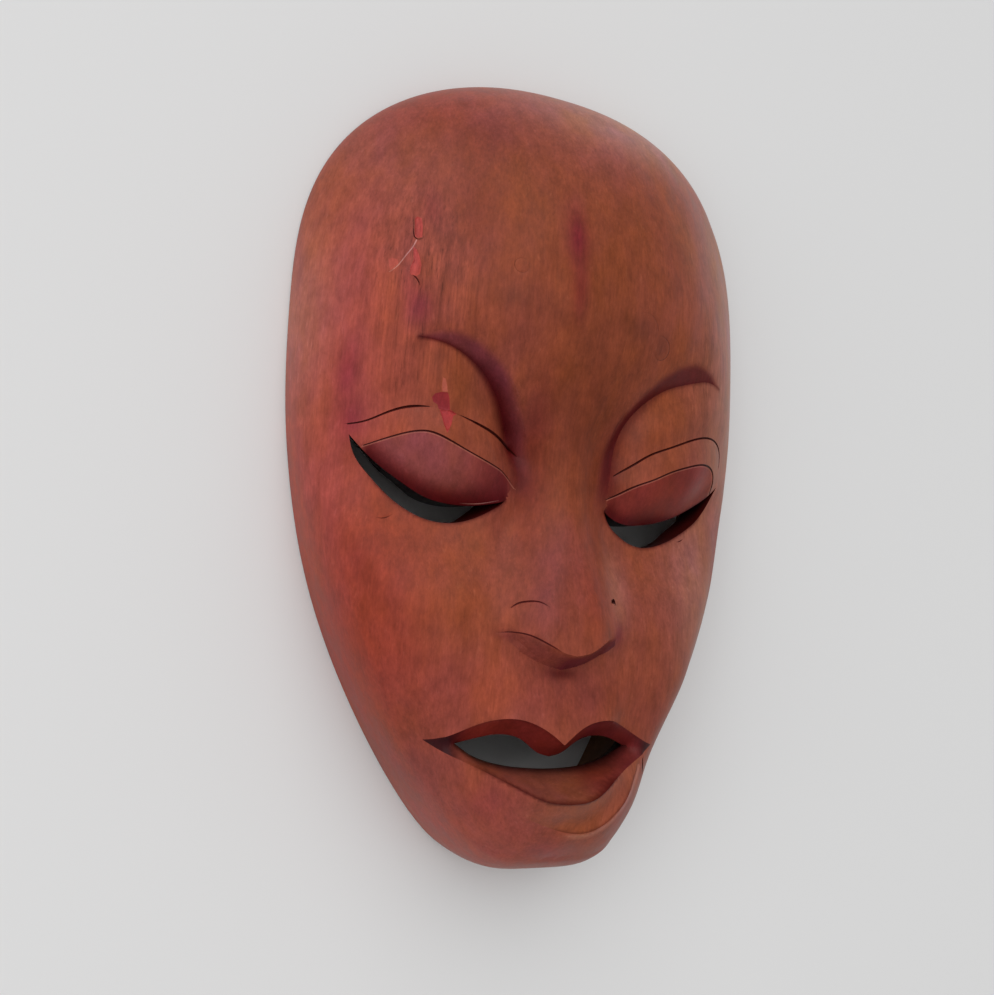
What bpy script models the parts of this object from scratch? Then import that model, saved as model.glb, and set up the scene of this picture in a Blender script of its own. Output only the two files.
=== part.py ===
"""Carved wooden face mask, hollow behind, lying face up on its back rim.

Frame: +X to the viewer's right, +Y towards the crown, +Z out of the face.  The flat
back rim lies on z = 0 and the origin is under the middle of the length.

The face is one height field over the plan.  A dome with an egg-shaped outline carries
it, and the brows, lids, nose and lips are carved into that dome along spline lines.
The hollow is a second dome.  Lengths below are in millimetres; MM makes them metres.
"""
import math

import bmesh
import bpy
import numpy as np
from mathutils import Vector
from mathutils.geometry import delaunay_2d_cdt

MM = 0.001

# ---- driving dimensions -------------------------------------------------------------
LENGTH = 240.0                      # chin to crown
HALF_LENGTH = LENGTH / 2

# The outline, before its two ends are rounded off: it widens towards the crown, and the
# chin is carved a little off to +X.
OUTLINE_STATIONS = (-120, -80, -40, 0, 40, 80, 120)     # along Y
HALF_WIDTHS = (30.1, 46.6, 62.5, 72.8, 78.2, 89.5, 99.6)
LEANS = (7.5, 2.4, 0.3, 0.6, -0.2, 0.7, 1.7)            # of its middle, towards +X
OUTLINE_POWER = (2.26, 4.44)        # superellipse powers towards the crown and the chin

STATIONS = (-120, -80, -38, 2, 40, 90)                  # along Y, for the dome and the hollow
CEILING = (87.0, 57.8, 42.0, 37.8, 47.6, 52.0)          # height of the dome's crest line
SQUARENESS = (1.3, 2.75, 3.6, 2.7, 1.97, 1.14)          # how boxy its cross-section is
END_SQUARENESS = (1.98, 2.4)        # the same, measured towards the crown and the chin

RIM_WIDTH = (7.5, 10.0)             # flat back rim at the sides, and at crown and chin
HOLLOW_CEILING = (46, 35, 26, 24, 36, 40)               # inside height at the stations
HOLLOW_SQUARENESS = (3.2, 3.0, 3.5, 3.1, 2.1, 1.6)
MOUTH_SCOOP = {"middle": -79, "rise": 8.0, "reach": (34, 13)}   # hollowed deeper behind the lips
EYE_FLARE = (0.90, 1.10, 0)         # size of each opening at the back, across and along,
MOUTH_FLARE = (1.20, 1.58, 3.2)     # as a share of the front, and its shift to +X

FEATURE_FADE = (0.90, 0.985)        # carving fades out between these shares of the outline

# ---- mesh density -------------------------------------------------------------------
FACE_STEP = 3.6                     # grid spacing over the carved part of the face
PLAIN_STEP = 7.0                    # and over the forehead and the hollow
LINE_STEP = 3.4                     # point spacing along carved lines
RIM_POINTS = 96                     # points round the outline
CAP_EDGE = 0.93                     # the grid stops here and rings go on to the rim
SIDE_RINGS = 6
INNER_RINGS = 5

# ---- carved lines, as (distance from the middle, y) ---------------------------------
# The two sides were cut by hand and differ a little.
EYES = {
    "left": {
        "side": -1,
        "lid_edge": [(17.2, -10.8), (22, -12.2), (28, -13.2), (34, -13.1), (40, -11.8),
                     (46, -8.7), (51, -5.7), (56, -1.9), (61.5, 3.2)],
        "cheek_edge": [(17.2, -10.8), (20.4, -13.4), (25, -16.3), (31, -18.3), (37.6, -18.3),
                       (45, -15.7), (50.6, -11.8), (55.2, -7.4), (59.4, -2.2), (61.5, 3.2)],
        "lower_line": [(14.6, -6.8), (17.2, -4.2), (21, -2.4), (26.4, -0.4), (32.4, 1.9),
                       (38, 4.2), (43.4, 5.7), (47, 5.2), (52, 3.3), (57.6, 0.5)],
        "upper_line": [(13.9, 2.2), (17, 5.0), (21.4, 7.0), (26.4, 8.6), (33.4, 10.9),
                       (40, 12.4), (44.6, 12.5), (49.4, 11.6), (54.4, 9.2), (58.4, 7.0),
                       (62, 6.0)],
        "brow_crease": [(47.5, 31.2), (43, 31.0), (38, 30.0), (32.6, 27.6), (27.2, 23.8),
                        (22.6, 18.6), (19, 12.2), (16.2, 5.0), (14.0, -3.0), (13.2, -10),
                        (13.5, -18), (14.8, -25), (16.6, -31)],
        "brow_top": [(47.5, 31.2), (43, 33.3), (38, 33.9), (32, 32.3), (26, 28.8),
                     (21.2, 24), (17.4, 17.8), (14.2, 11.0), (11.6, 3.4), (10.0, -5),
                     (9.6, -12), (10.2, -20), (12, -29)],
        "crease_depth": (0, 2.4, 4.4, 5.8, 6.6, 6.8, 6.6, 6.0, 4.6, 2.2, 0),
    },
    "right": {
        "side": 1,
        "lid_edge": [(16.4, -10.6), (19.3, -12.9), (24, -14.0), (30, -13.6),
                     (37, -12.1), (44, -9.6), (51, -6.0), (57, -2.3), (60.8, 1.2)],
        "cheek_edge": [(16.4, -10.6), (18.2, -14.2), (21.2, -17.2), (25.8, -19.5),
                       (31.4, -20.3), (37.6, -19.0), (45, -15.6), (51.8, -11.2),
                       (57.4, -5.4), (60.8, 1.2)],
        "lower_line": [(15.8, -7.2), (19.4, -5.2), (23.2, -2.6), (28.4, -0.2), (34, 2.6),
                       (40, 4.8), (45.4, 6.3), (50.4, 6.8), (54.6, 5.6), (57, 2.6),
                       (57.6, -1.2)],
        "upper_line": [(17.6, 0.0), (21.4, 2.8), (27, 6.9), (34, 10.0), (41, 12.8),
                       (47.8, 15.0), (53.4, 15.6), (57.6, 14.6), (60.2, 12.0), (61.0, 7.6)],
        "brow_crease": [(55.5, 31.5), (51, 32.8), (45.5, 32.0), (40, 30.4), (34, 28.2),
                        (28, 24.6), (22.8, 19.8), (19.0, 14.2), (17.2, 8.0), (16.4, 0),
                        (15.4, -10), (15.4, -18), (16, -25), (17, -31)],
        "brow_top": [(55.5, 31.5), (52.8, 34.2), (48.4, 36.6), (42.6, 37.2), (37, 35.6),
                     (31, 32.2), (25.4, 27.2), (20.4, 21.6), (16.0, 15.6), (13.4, 9),
                     (12.4, 1), (11.4, -9), (11.2, -19), (12.6, -29)],
        "crease_depth": (0, 2.4, 4.2, 4.9, 5.0, 4.8, 4.6, 4.3, 3.6, 2.0, 0),
    },
}
# Values below are spread evenly along their line, from its first point.
# Along the brow: how far the hollow under the crease reaches, how far the edge above the
# crease drops, and how far up that drop reaches.
CREASE_REACH = (9, 10, 11, 11, 10, 8, 7, 6.5, 7, 9, 11)
BROW_DROP = (0, 0.5, 1.1, 1.5, 1.9, 2.3, 2.6, 2.4, 1.6, 0.7, 0)
BROW_REACH = (10, 12, 14, 15, 15, 14, 12, 10.5, 10, 10, 10)

# Offsets from the dome along the eye's lines, from the inner corner outwards.
LID_EDGE = (-1.2, -3.6, -5.2, -5.4, -5.0, -4.4, -3.4, -1.2)
LID_CREST = (-1.2, 0.8, 2.2, 3.0, 3.1, 2.5, 1.2, -2.0)  # on the lower lid line
LID_TOP = (-1.2, -0.6, -0.3, -0.3, -0.3, -0.5, -0.8, -1.2)
CHEEK_EDGE = (-1.2, -3.8, -5.2, -5.6, -5.4, -5.0, -4.4, -3.4, -1.2)
LID_REACH = 10.0                    # the brow's skin comes back to the dome this far up
CHEEK_REACH = 22.0                  # and the cheek this far down

NOSE_STATIONS = (-50, -44, -37, -27, -15, -4, 6, 16, 30)
NOSE_HEIGHT = (9.4, 9.4, 8.8, 7.0, 5.0, 3.2, 1.6, 0.5, 0)
NOSE_PLAN = (-50, -44, -36, -20, 0, 20)                 # stations for the next two rows
NOSE_RIDGE = (4.5, 5.6, 4.6, 3.0, 1.0, 0.0)             # half-width of the flat top
NOSE_FOOT = (21.0, 21.0, 19.5, 17.0, 15.0, 14.0)        # half-width where it meets the cheeks
NOSE_WING = {"middle": (13.5, -43.0), "rise": 1.3, "reach": 6.5}
NOSE_TIP = [(0, -51.6), (4.5, -50.6), (9, -48.4), (13, -46.8), (17, -46.6), (20.5, -47.2)]
NOSE_BASE = [(0, -56.4), (6, -55), (11, -52.8), (15, -50.4), (18, -48.6), (20.5, -47.8)]

# The mouth: its outer edge, and the opening inside it.  "rise" is the offset from the dome.
LIPS = {
    "upper": {"line": [(35.4, -78), (32, -76.8), (27.5, -74.6), (22, -71.8),
                       (15.6, -69.8), (9.6, -70.6), (4.4, -73), (0, -76.2)],
               "rise": (-3, -3.8, -4.2, -2.4, 1.2, 1.8, 2.6, 3.4)},
    "lower": {"line": [(35.4, -78), (31, -80.4), (26, -82.4), (20, -84.8),
                       (13, -87.8), (6, -90.4), (0, -90.9)],
              "rise": (-3, -2.8, -1.4, 1.8, 5.6, 7.8, 8.2)},
    "opening_top": {"line": [(26.5, -78.6), (22, -76.6), (17, -75.2), (12.5, -75.2),
                             (8, -77), (3.5, -80), (0, -80.9)],
                    "rise": (-9, -7.6, -6.2, -5.2, -5.2, -5.5, -5.5)},
    "opening_low": {"line": [(26.5, -78.6), (21, -82.0), (14, -84.0), (7, -84.8),
                             (0, -85.0)],
                    "rise": (-9, -10.2, -10, -9.4, -9)},
}
UPPER_LIP_REACH = 24.0              # how far the lips' relief carries into the face
LOWER_LIP_REACH = (24, 16, 11, 9, 9)                    # from the corner to the middle
LIP_BLEND = 2.0                     # rounds the skin over the notch between the lobes
CHIN_FOLD = [(-33, -81), (-27, -85.6), (-21, -90), (-14, -94), (-7, -97), (-1, -99.2),
             (5, -100.7), (10, -100.8), (15, -98.6), (20, -94), (24.5, -88.6), (29, -83.2),
             (33, -79.4)]
CHIN_FOLD_RISE = (0, 0, 0.1, 0.5, 1.1, 1.8, 2.4, 2.7, 2.6, 1.8, 0.8, 0)
CHIN_FOLD_FALL = 3.5                # how steeply it falls on the lip's side
CHIN_FOLD_REACH = 9.0
MOUTH_CORNER = LIPS["upper"]["line"][0]


# ---- curves -------------------------------------------------------------------------
def smooth(t):
    """Smooth step from 0 to 1."""
    t = np.clip(t, 0.0, 1.0)
    return t * t * (3 - 2 * t)


def spline(knots, values):
    """Natural cubic spline through the values at the knots, flat beyond the ends."""
    k = np.asarray(knots, float)
    v = np.asarray(values, float).reshape(len(k), -1)
    h = np.diff(k)
    system = np.eye(len(k))
    right = np.zeros_like(v)
    for i in range(1, len(k) - 1):
        system[i, i - 1:i + 2] = h[i - 1], 2 * (h[i - 1] + h[i]), h[i]
        right[i] = 6 * ((v[i + 1] - v[i]) / h[i] - (v[i] - v[i - 1]) / h[i - 1])
    bend = np.linalg.solve(system, right)

    def at(x):
        x = np.clip(np.asarray(x, float), k[0], k[-1])
        i = np.clip(np.searchsorted(k, x, side="right") - 1, 0, len(k) - 2)
        before = (x - k[i])[..., None]
        after = (k[i + 1] - x)[..., None]
        step = h[i][..., None]
        result = (bend[i] * after**3 + bend[i + 1] * before**3) / (6 * step)
        result += (v[i] / step - bend[i] * step / 6) * after
        result += (v[i + 1] / step - bend[i + 1] * step / 6) * before
        return result[..., 0] if v.shape[1] == 1 else result

    return at


class Line:
    """A carved line: a spline through its points, with values spread evenly along it."""

    def __init__(self, points, samples=160, **along):
        points = np.array(points, float)
        run = np.r_[0, np.cumsum(np.hypot(*np.diff(points, axis=0).T))]
        self.length = run[-1]
        at = np.linspace(0, self.length, samples)
        self.points = spline(run, points)(at)
        self.along = {}
        for name, values in along.items():
            spread = np.linspace(0, self.length, len(values))
            self.along[name] = spline(spread, values)(at)

    def near(self, x, y):
        """Distance to the line, which side of it, and a reader of its riding values."""
        start = self.points[:-1]
        step = np.diff(self.points, axis=0)
        dx = x.ravel()[:, None] - start[:, 0]
        dy = y.ravel()[:, None] - start[:, 1]
        t = np.clip((dx * step[:, 0] + dy * step[:, 1]) / (step**2).sum(1), 0, 1)
        gap = (dx - t * step[:, 0])**2 + (dy - t * step[:, 1])**2
        i = gap.argmin(1)
        row = np.arange(len(i))
        side = np.sign(step[i, 0] * dy[row, i] - step[i, 1] * dx[row, i])
        place = i + t[row, i]

        def value(name):
            known = self.along[name]
            return np.interp(place, np.arange(len(known)), known).reshape(x.shape)

        return np.sqrt(gap[row, i]).reshape(x.shape), side.reshape(x.shape), value

    def y_at(self, x):
        order = np.argsort(self.points[:, 0], kind="stable")
        return np.interp(x, self.points[order, 0], self.points[order, 1])

    def sampled(self, step):
        """Points along the line about one step apart, both ends included."""
        count = max(2, int(round(self.length / step)) + 1)
        at = np.linspace(0, len(self.points) - 1, count)
        index = np.arange(len(self.points))
        return np.stack([np.interp(at, index, self.points[:, 0]),
                         np.interp(at, index, self.points[:, 1])], 1)


def inside_loop(loop, x, y):
    """Whether points lie inside a closed loop, by counting the sides they cross."""
    ax, ay = loop.T
    bx, by = np.roll(loop, -1, 0).T
    px, py = x[:, None], y[:, None]
    crosses = (ay > py) != (by > py)
    level = np.where(by == ay, 1, by - ay)
    return ((crosses & (px < (bx - ax) * (py - ay) / level + ax)).sum(1) % 2).astype(bool)


# ---- the dome -----------------------------------------------------------------------
half_width_at = spline(OUTLINE_STATIONS, HALF_WIDTHS)
lean_at = spline(OUTLINE_STATIONS, LEANS)
ceiling = spline(STATIONS, CEILING)
squareness = spline(STATIONS, SQUARENESS)
hollow_ceiling = spline(STATIONS, HOLLOW_CEILING)
hollow_squareness = spline(STATIONS, HOLLOW_SQUARENESS)


def outline_terms(y):
    """Place along the length, outline power, half-width and sideways lean at y."""
    t = y / HALF_LENGTH
    return t, np.where(t > 0, *OUTLINE_POWER), half_width_at(y), lean_at(y)


def share_of_outline(x, y):
    """0 on the middle, 1 on the outline, and how much of it lies along the length."""
    t, power, half_width, lean = outline_terms(y)
    lengthwise = np.abs(t)**power
    across = (np.abs(x - lean) / half_width)**power
    total = lengthwise + across
    return total**(1 / power), lengthwise / np.maximum(total, 1e-12)


def outline_ring(share, count):
    """Points round the outline shrunk to a share of its size."""
    turn = np.linspace(0, 2 * math.pi, count, endpoint=False)
    y = HALF_LENGTH * share * np.sin(turn)
    t, power, half_width, lean = outline_terms(y)
    reach = np.maximum(share**power - np.abs(t)**power, 0)**(1 / power)
    return lean + half_width * reach * np.sign(np.cos(turn)), y


def dome(x, y, ceiling_at, squareness_at):
    """Height of a dome over the plan, and the share of the outline at each point."""
    share, lengthwise = share_of_outline(x, y)
    power = squareness_at(y)
    power = power + (np.where(y > 0, *END_SQUARENESS) - power) * lengthwise
    return ceiling_at(y) * np.maximum(1 - np.minimum(share, 1)**power, 0)**(1 / power), share


# ---- the carving --------------------------------------------------------------------
def eye_lines(eye):
    """The carved lines of one eye and its brow."""
    return {
        "lid_edge": Line(eye["lid_edge"], offset=LID_EDGE),
        "cheek_edge": Line(eye["cheek_edge"], offset=CHEEK_EDGE),
        "lower_line": Line(eye["lower_line"], offset=LID_CREST),
        "upper_line": Line(eye["upper_line"], offset=LID_TOP),
        "brow_crease": Line(eye["brow_crease"], depth=eye["crease_depth"],
                            reach=CREASE_REACH),
        "brow_top": Line(eye["brow_top"], drop=BROW_DROP, reach=BROW_REACH),
    }


EYE_LINES = {eye["side"]: eye_lines(eye) for eye in EYES.values()}
LIP_LINES = {name: Line(lip["line"], rise=lip["rise"]) for name, lip in LIPS.items()}
LIP_LINES["lower"] = Line(LIPS["lower"]["line"], rise=LIPS["lower"]["rise"],
                          reach=LOWER_LIP_REACH)
NOSE_TIP_LINE, NOSE_BASE_LINE = Line(NOSE_TIP), Line(NOSE_BASE)
CHIN_FOLD_LINE = Line(CHIN_FOLD, rise=CHIN_FOLD_RISE)
nose_height = spline(NOSE_STATIONS, NOSE_HEIGHT)
nose_ridge = spline(NOSE_PLAN, NOSE_RIDGE)
nose_foot = spline(NOSE_PLAN, NOSE_FOOT)


def share_between(first, second):
    """0 on the first line and 1 on the second, by distance."""
    return first / np.maximum(first + second, 1e-6)


def brow_cut(lines, u, y):
    """A bevel from the brow's edge down to its crease, and a hollow below the crease."""
    away, side, crease = lines["brow_crease"].near(u, y)
    from_top, top_side, top = lines["brow_top"].near(u, y)
    depth, drop = crease("depth"), top("drop")
    bevel = depth + (drop - depth) * share_between(away, from_top)**0.8
    hollow = depth * (1 - smooth(away / crease("reach")))
    above = drop * (1 - smooth(from_top / top("reach")))
    return -np.where(side > 0, hollow, np.where(top_side > 0, bevel, above))


def within(first, second, x, y):
    """Whether points lie between two lines that run the same way."""
    loop = np.concatenate([first.points[::4], second.points[::-4]])
    return inside_loop(loop, x, y)


def lid_and_cheek(lines, u, y):
    """The lid swells above the slit, and the cheek is scooped out below it."""
    names = ("lid_edge", "lower_line", "upper_line", "cheek_edge")
    near = {name: lines[name].near(u, y) for name in names}
    away = {name: found[0] for name, found in near.items()}
    offset = {name: found[2]("offset") for name, found in near.items()}

    swell = 1 - (1 - share_between(away["lid_edge"], away["lower_line"]))**2
    lid = offset["lid_edge"] + (offset["lower_line"] - offset["lid_edge"]) * swell
    rise = share_between(away["lower_line"], away["upper_line"])**2
    band = offset["lower_line"] + (offset["upper_line"] - offset["lower_line"]) * rise

    above = offset["upper_line"] * (1 - smooth(away["upper_line"] / LID_REACH))
    below = offset["cheek_edge"] * (1 - smooth(away["cheek_edge"] / CHEEK_REACH))
    share = share_between(away["upper_line"]**2, away["cheek_edge"]**2)
    around = above + (below - above) * share

    on_lid = within(lines["lid_edge"], lines["lower_line"], u, y)
    on_eye = within(lines["lid_edge"], lines["upper_line"], u, y)
    return np.where(on_lid, lid, np.where(on_eye, band, around))


def nose(u, y):
    """A wedge that widens to the wings, cut off below by a steep underside."""
    slope = smooth((u - nose_ridge(y)) / (nose_foot(y) - nose_ridge(y)))
    tip, foot = NOSE_TIP_LINE.y_at(u), NOSE_BASE_LINE.y_at(u)
    underside = np.clip((y - foot) / (tip - foot), 0, 1)
    wing_x, wing_y = NOSE_WING["middle"]
    wing = np.exp(-((u - wing_x)**2 + (y - wing_y)**2) / NOSE_WING["reach"]**2)
    return (nose_height(y) * (1 - slope) + NOSE_WING["rise"] * wing) * underside


def softly_near(line, x, y):
    """Distance and rise of a line and its mirror image, blended across the middle."""
    near, _, value = line.near(x, y)
    far, _, far_value = line.near(-x, y)
    weight = 1 / (1 + np.exp(-(far - near) / LIP_BLEND))
    away = near - LIP_BLEND * np.log1p(np.exp(-(far - near) / LIP_BLEND))
    return np.maximum(away, 0), value("rise") * weight + far_value("rise") * (1 - weight)


def mouth(x, y):
    """Lips: bevels that run in to the opening, and relief that dies away outside."""
    u = np.abs(x)
    near = {name: line.near(u, y) for name, line in LIP_LINES.items()}
    away = {name: found[0] for name, found in near.items()}
    rise = {name: found[2]("rise") for name, found in near.items()}

    def bevel(outer, inner):
        return rise[outer] + (rise[inner] - rise[outer]) * share_between(away[outer], away[inner])

    middle = (LIP_LINES["opening_top"].y_at(u) + LIP_LINES["opening_low"].y_at(u)) / 2
    inside = (u < MOUTH_CORNER[0]) & (y < LIP_LINES["upper"].y_at(u))
    inside &= y > LIP_LINES["lower"].y_at(u)
    lips = np.where(y > middle, bevel("upper", "opening_top"), bevel("lower", "opening_low"))

    from_upper, upper_rise = softly_near(LIP_LINES["upper"], u, y)
    reach = near["lower"][2]("reach")
    reach = np.where(y > MOUTH_CORNER[1], UPPER_LIP_REACH, reach)
    above = upper_rise * (1 - smooth(from_upper / reach))
    below = rise["lower"] * (1 - smooth(away["lower"] / reach))
    return np.where(inside, lips, np.where(y > MOUTH_CORNER[1], above, below))


def chin_fold(x, y):
    """The ridge round the chin: it falls to the lower lip inside and dies away outside."""
    away, side, value = CHIN_FOLD_LINE.near(x, y)
    fold = value("rise")
    from_lip, _, _ = LIP_LINES["lower"].near(np.abs(x), y)
    inside = fold * (1 - share_between(away, from_lip))**CHIN_FOLD_FALL
    outside = fold * (1 - smooth(away / CHIN_FOLD_REACH))
    below_lip = y < LIP_LINES["lower"].y_at(np.abs(x))
    return np.where(side > 0, inside * below_lip, outside)


def face_height(x, y):
    """Height of the front surface over the plan."""
    height, share = dome(x, y, ceiling, squareness)
    carving = np.zeros_like(x)
    u = np.abs(x)
    for side, lines in EYE_LINES.items():
        here = (x * side > 0) & (y > -46) & (y < 56)
        carving[here] += brow_cut(lines, u[here], y[here])
        carving[here] += lid_and_cheek(lines, u[here], y[here])
    here = (y > NOSE_BASE[0][1]) & (y < NOSE_STATIONS[-1])
    carving[here] += nose(u[here], y[here])
    here = y < NOSE_STATIONS[1]
    carving[here] += mouth(x[here], y[here]) + chin_fold(x[here], y[here])
    start, end = FEATURE_FADE
    kept = 1 - smooth((share - start) / (end - start))
    return height + carving * kept


# ---- the hollow ---------------------------------------------------------------------
HOLLOW_SCALE = (1 - RIM_WIDTH[0] / HALF_WIDTHS[3], 1 - RIM_WIDTH[1] / HALF_LENGTH)


def hollow_ring(share, count):
    """Points round the hollow's edge, shrunk to a share of its size."""
    x, y = outline_ring(share, count)
    return x * HOLLOW_SCALE[0], y * HOLLOW_SCALE[1]


def hollow_height(x, y):
    """Height of the hollow's ceiling over the plan."""
    height, share = dome(x / HOLLOW_SCALE[0], y / HOLLOW_SCALE[1],
                         hollow_ceiling, hollow_squareness)
    across, along = MOUTH_SCOOP["reach"]
    scoop = np.exp(-(x / across)**2 - ((y - MOUTH_SCOOP["middle"]) / along)**2)
    return height + MOUTH_SCOOP["rise"] * scoop * (1 - smooth(share))


# ---- openings -----------------------------------------------------------------------
def loop_between(first, second, step):
    """A closed loop: out along the first line and back along the second."""
    out = first.sampled(step)
    back = second.sampled(step)[::-1]
    return np.concatenate([out, back[1:-1]])


def opening_loops():
    """The eye slits and the mouth, as closed loops in plan, each with its flare."""
    loops = []
    for side, lines in EYE_LINES.items():
        loop = loop_between(lines["lid_edge"], lines["cheek_edge"], LINE_STEP)
        loops.append((loop * (side, 1), EYE_FLARE))
    top = LIP_LINES["opening_top"].sampled(LINE_STEP)
    low = LIP_LINES["opening_low"].sampled(LINE_STEP)
    half = np.concatenate([low[::-1], top[1:]])
    other = half[1:-1][::-1] * (-1, 1)
    loops.append((np.concatenate([half, other]), MOUTH_FLARE))
    return loops


def flared(loop, flare):
    """The same loop at the back of the wall, scaled about its middle and shifted."""
    across, along, shift = flare
    middle = (loop.min(0) + loop.max(0)) / 2
    return middle + (loop - middle) * (across, along) + (shift, 0)


# ---- triangulation ------------------------------------------------------------------
def hex_grid(step):
    """Points a step apart in staggered rows, over more than the whole mask."""
    across = np.arange(-90, 90, step)
    rows = np.arange(-125, 125, step * math.sqrt(3) / 2)
    x, y = np.meshgrid(across, rows)
    x = x + (np.arange(len(rows)) % 2)[:, None] * step / 2
    return np.stack([x.ravel(), y.ravel()], 1)


def clear_of(points, fixed, gap):
    """The points that keep at least a gap from all the fixed ones."""
    near = ((points[:, None] - fixed[None])**2).sum(2).min(1)
    return points[near > gap * gap]


def fill(border, holes, lines, grid):
    """Triangles over the area inside the border and outside the holes."""
    fixed = np.concatenate([border, *holes, *lines])
    edges = []
    first = 0
    for chain, closed in [(border, True)] + [(h, True) for h in holes] + [(c, False) for c in lines]:
        count = len(chain)
        edges += [(first + i, first + (i + 1) % count) for i in range(count - (not closed))]
        first += count
    grid = grid[inside_loop(border, *grid.T)]
    for hole in holes:
        grid = grid[~inside_loop(hole, *grid.T)]
    points = np.concatenate([fixed, grid])
    corners, _, faces, *_ = delaunay_2d_cdt([Vector(p) for p in points], edges, [], 0, 1e-5)
    corners = np.array([(c.x, c.y) for c in corners])
    faces = np.array(faces)
    centres = corners[faces].mean(1)
    keep = inside_loop(border, *centres.T)
    for hole in holes:
        keep &= ~inside_loop(hole, *centres.T)
    return corners, faces[keep]


def strip(lower, upper):
    """Triangles between two closed loops of equally many points."""
    count = len(lower)
    faces = []
    for i in range(count):
        j = (i + 1) % count
        faces += [(i, j, count + j), (i, count + j, count + i)]
    return np.concatenate([lower, upper]), np.array(faces)


def with_height(plan, height):
    x, y = plan[:, 0].copy(), plan[:, 1].copy()
    return np.stack([x, y, height(x, y)], 1)


def at_level(plan, z):
    return np.column_stack([plan, np.full(len(plan), float(z))])


# ---- the shell ----------------------------------------------------------------------
def carved_lines():
    lines = []
    for side, eye in EYE_LINES.items():
        for name in ("brow_crease", "brow_top", "lower_line", "upper_line"):
            lines.append(eye[name].sampled(LINE_STEP) * (side, 1))
    lines.append(CHIN_FOLD_LINE.sampled(LINE_STEP))
    for side in (-1, 1):
        for line in (LIP_LINES["upper"], LIP_LINES["lower"], NOSE_TIP_LINE, NOSE_BASE_LINE):
            lines.append(line.sampled(LINE_STEP) * (side, 1))
    return lines


def front_grid(fixed):
    """Fine over the brows, eyes, nose and mouth, coarse over the rest."""
    fine, plain = hex_grid(FACE_STEP), hex_grid(PLAIN_STEP)
    carved = lambda p: (p[:, 1] < 40) & (share_of_outline(*p.T)[0] < 0.9)
    grid = np.concatenate([fine[carved(fine)], plain[~carved(plain)]])
    grid = grid[share_of_outline(*grid.T)[0] < CAP_EDGE - 0.02]
    return clear_of(grid, fixed, FACE_STEP * 0.55)


def ring_shares(start, count):
    """Shares of the outline from start to 1, closer together towards the rim."""
    return np.sin(np.linspace(math.asin(start), math.pi / 2, count + 1))


def shell_pieces():
    """Every stretch of the mask's skin, as (points, triangles)."""
    openings = [loop for loop, _ in opening_loops()]
    backs = [flared(loop, flare) for loop, flare in opening_loops()]

    border = np.stack(outline_ring(CAP_EDGE, RIM_POINTS), 1)
    lines = carved_lines()
    grid = front_grid(np.concatenate([border, *openings, *lines]))
    plan, faces = fill(border, openings, lines, grid)
    yield with_height(plan, face_height), faces

    rings = [with_height(np.stack(outline_ring(s, RIM_POINTS), 1), face_height)
             for s in ring_shares(CAP_EDGE, SIDE_RINGS)[:-1]]
    rings.append(at_level(np.stack(outline_ring(1.0, RIM_POINTS), 1), 0))
    inner = [with_height(np.stack(hollow_ring(s, RIM_POINTS), 1), hollow_height)
             for s in ring_shares(CAP_EDGE, INNER_RINGS)[:-1]]
    inner.append(at_level(np.stack(hollow_ring(1.0, RIM_POINTS), 1), 0))
    for above, below in zip(rings, rings[1:]):
        yield strip(below, above)
    yield strip(inner[-1], rings[-1])
    for above, below in zip(inner, inner[1:]):
        yield strip(above, below)

    border = np.stack(hollow_ring(CAP_EDGE, RIM_POINTS), 1)
    fixed = np.concatenate([border, *backs])
    grid = hex_grid(PLAIN_STEP)
    grid = grid[share_of_outline(*(grid / HOLLOW_SCALE).T)[0] < CAP_EDGE - 0.03]
    plan, faces = fill(border, backs, [], clear_of(grid, fixed, PLAIN_STEP * 0.5))
    yield with_height(plan, hollow_height), faces[:, ::-1]

    for front, back in zip(openings, backs):
        yield strip(with_height(front, face_height), with_height(back, hollow_height))


def build_mesh(name, pieces):
    """One closed mesh: the pieces share their edge points, which are welded."""
    bm = bmesh.new()
    for points, faces in pieces:
        corners = [bm.verts.new(p * MM) for p in points]
        for face in faces:
            bm.faces.new([corners[i] for i in face])
    bmesh.ops.remove_doubles(bm, verts=bm.verts, dist=1e-6)
    bmesh.ops.recalc_face_normals(bm, faces=bm.faces)
    mesh = bpy.data.meshes.new(name)
    bm.to_mesh(mesh)
    bm.free()
    mesh.shade_smooth()
    mesh.set_sharp_from_angle(angle=math.radians(35))
    return mesh


def stained_wood():
    material = bpy.data.materials.new("stained_wood")
    material.use_nodes = True
    shader = material.node_tree.nodes["Principled BSDF"]
    shader.inputs["Base Color"].default_value = (0.28, 0.07, 0.04, 1)
    shader.inputs["Roughness"].default_value = 0.45
    shader.inputs["Metallic"].default_value = 0.0
    return material


def clear_scene():
    for old in list(bpy.data.objects):
        bpy.data.objects.remove(old)


clear_scene()
mask = bpy.data.objects.new("carved_mask", build_mesh("carved_mask", shell_pieces()))
mask.data.materials.append(stained_wood())
bpy.context.scene.collection.objects.link(mask)
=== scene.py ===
"""How the carved wooden face mask looks.

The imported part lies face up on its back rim, in metres.  This script builds the same
surface finely from the same sizes, adds the knife lines, chips and gouge marks, stains it
and lights it on a pale floor.  Lengths are in millimetres until MM makes them metres.  +X
is to the viewer's right, +Y towards the crown, +Z out of the face.
"""
import math

import bmesh
import bpy
import numpy as np
from mathutils import Matrix, Vector
from mathutils.geometry import delaunay_2d_cdt
from mathutils.kdtree import KDTree


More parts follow.
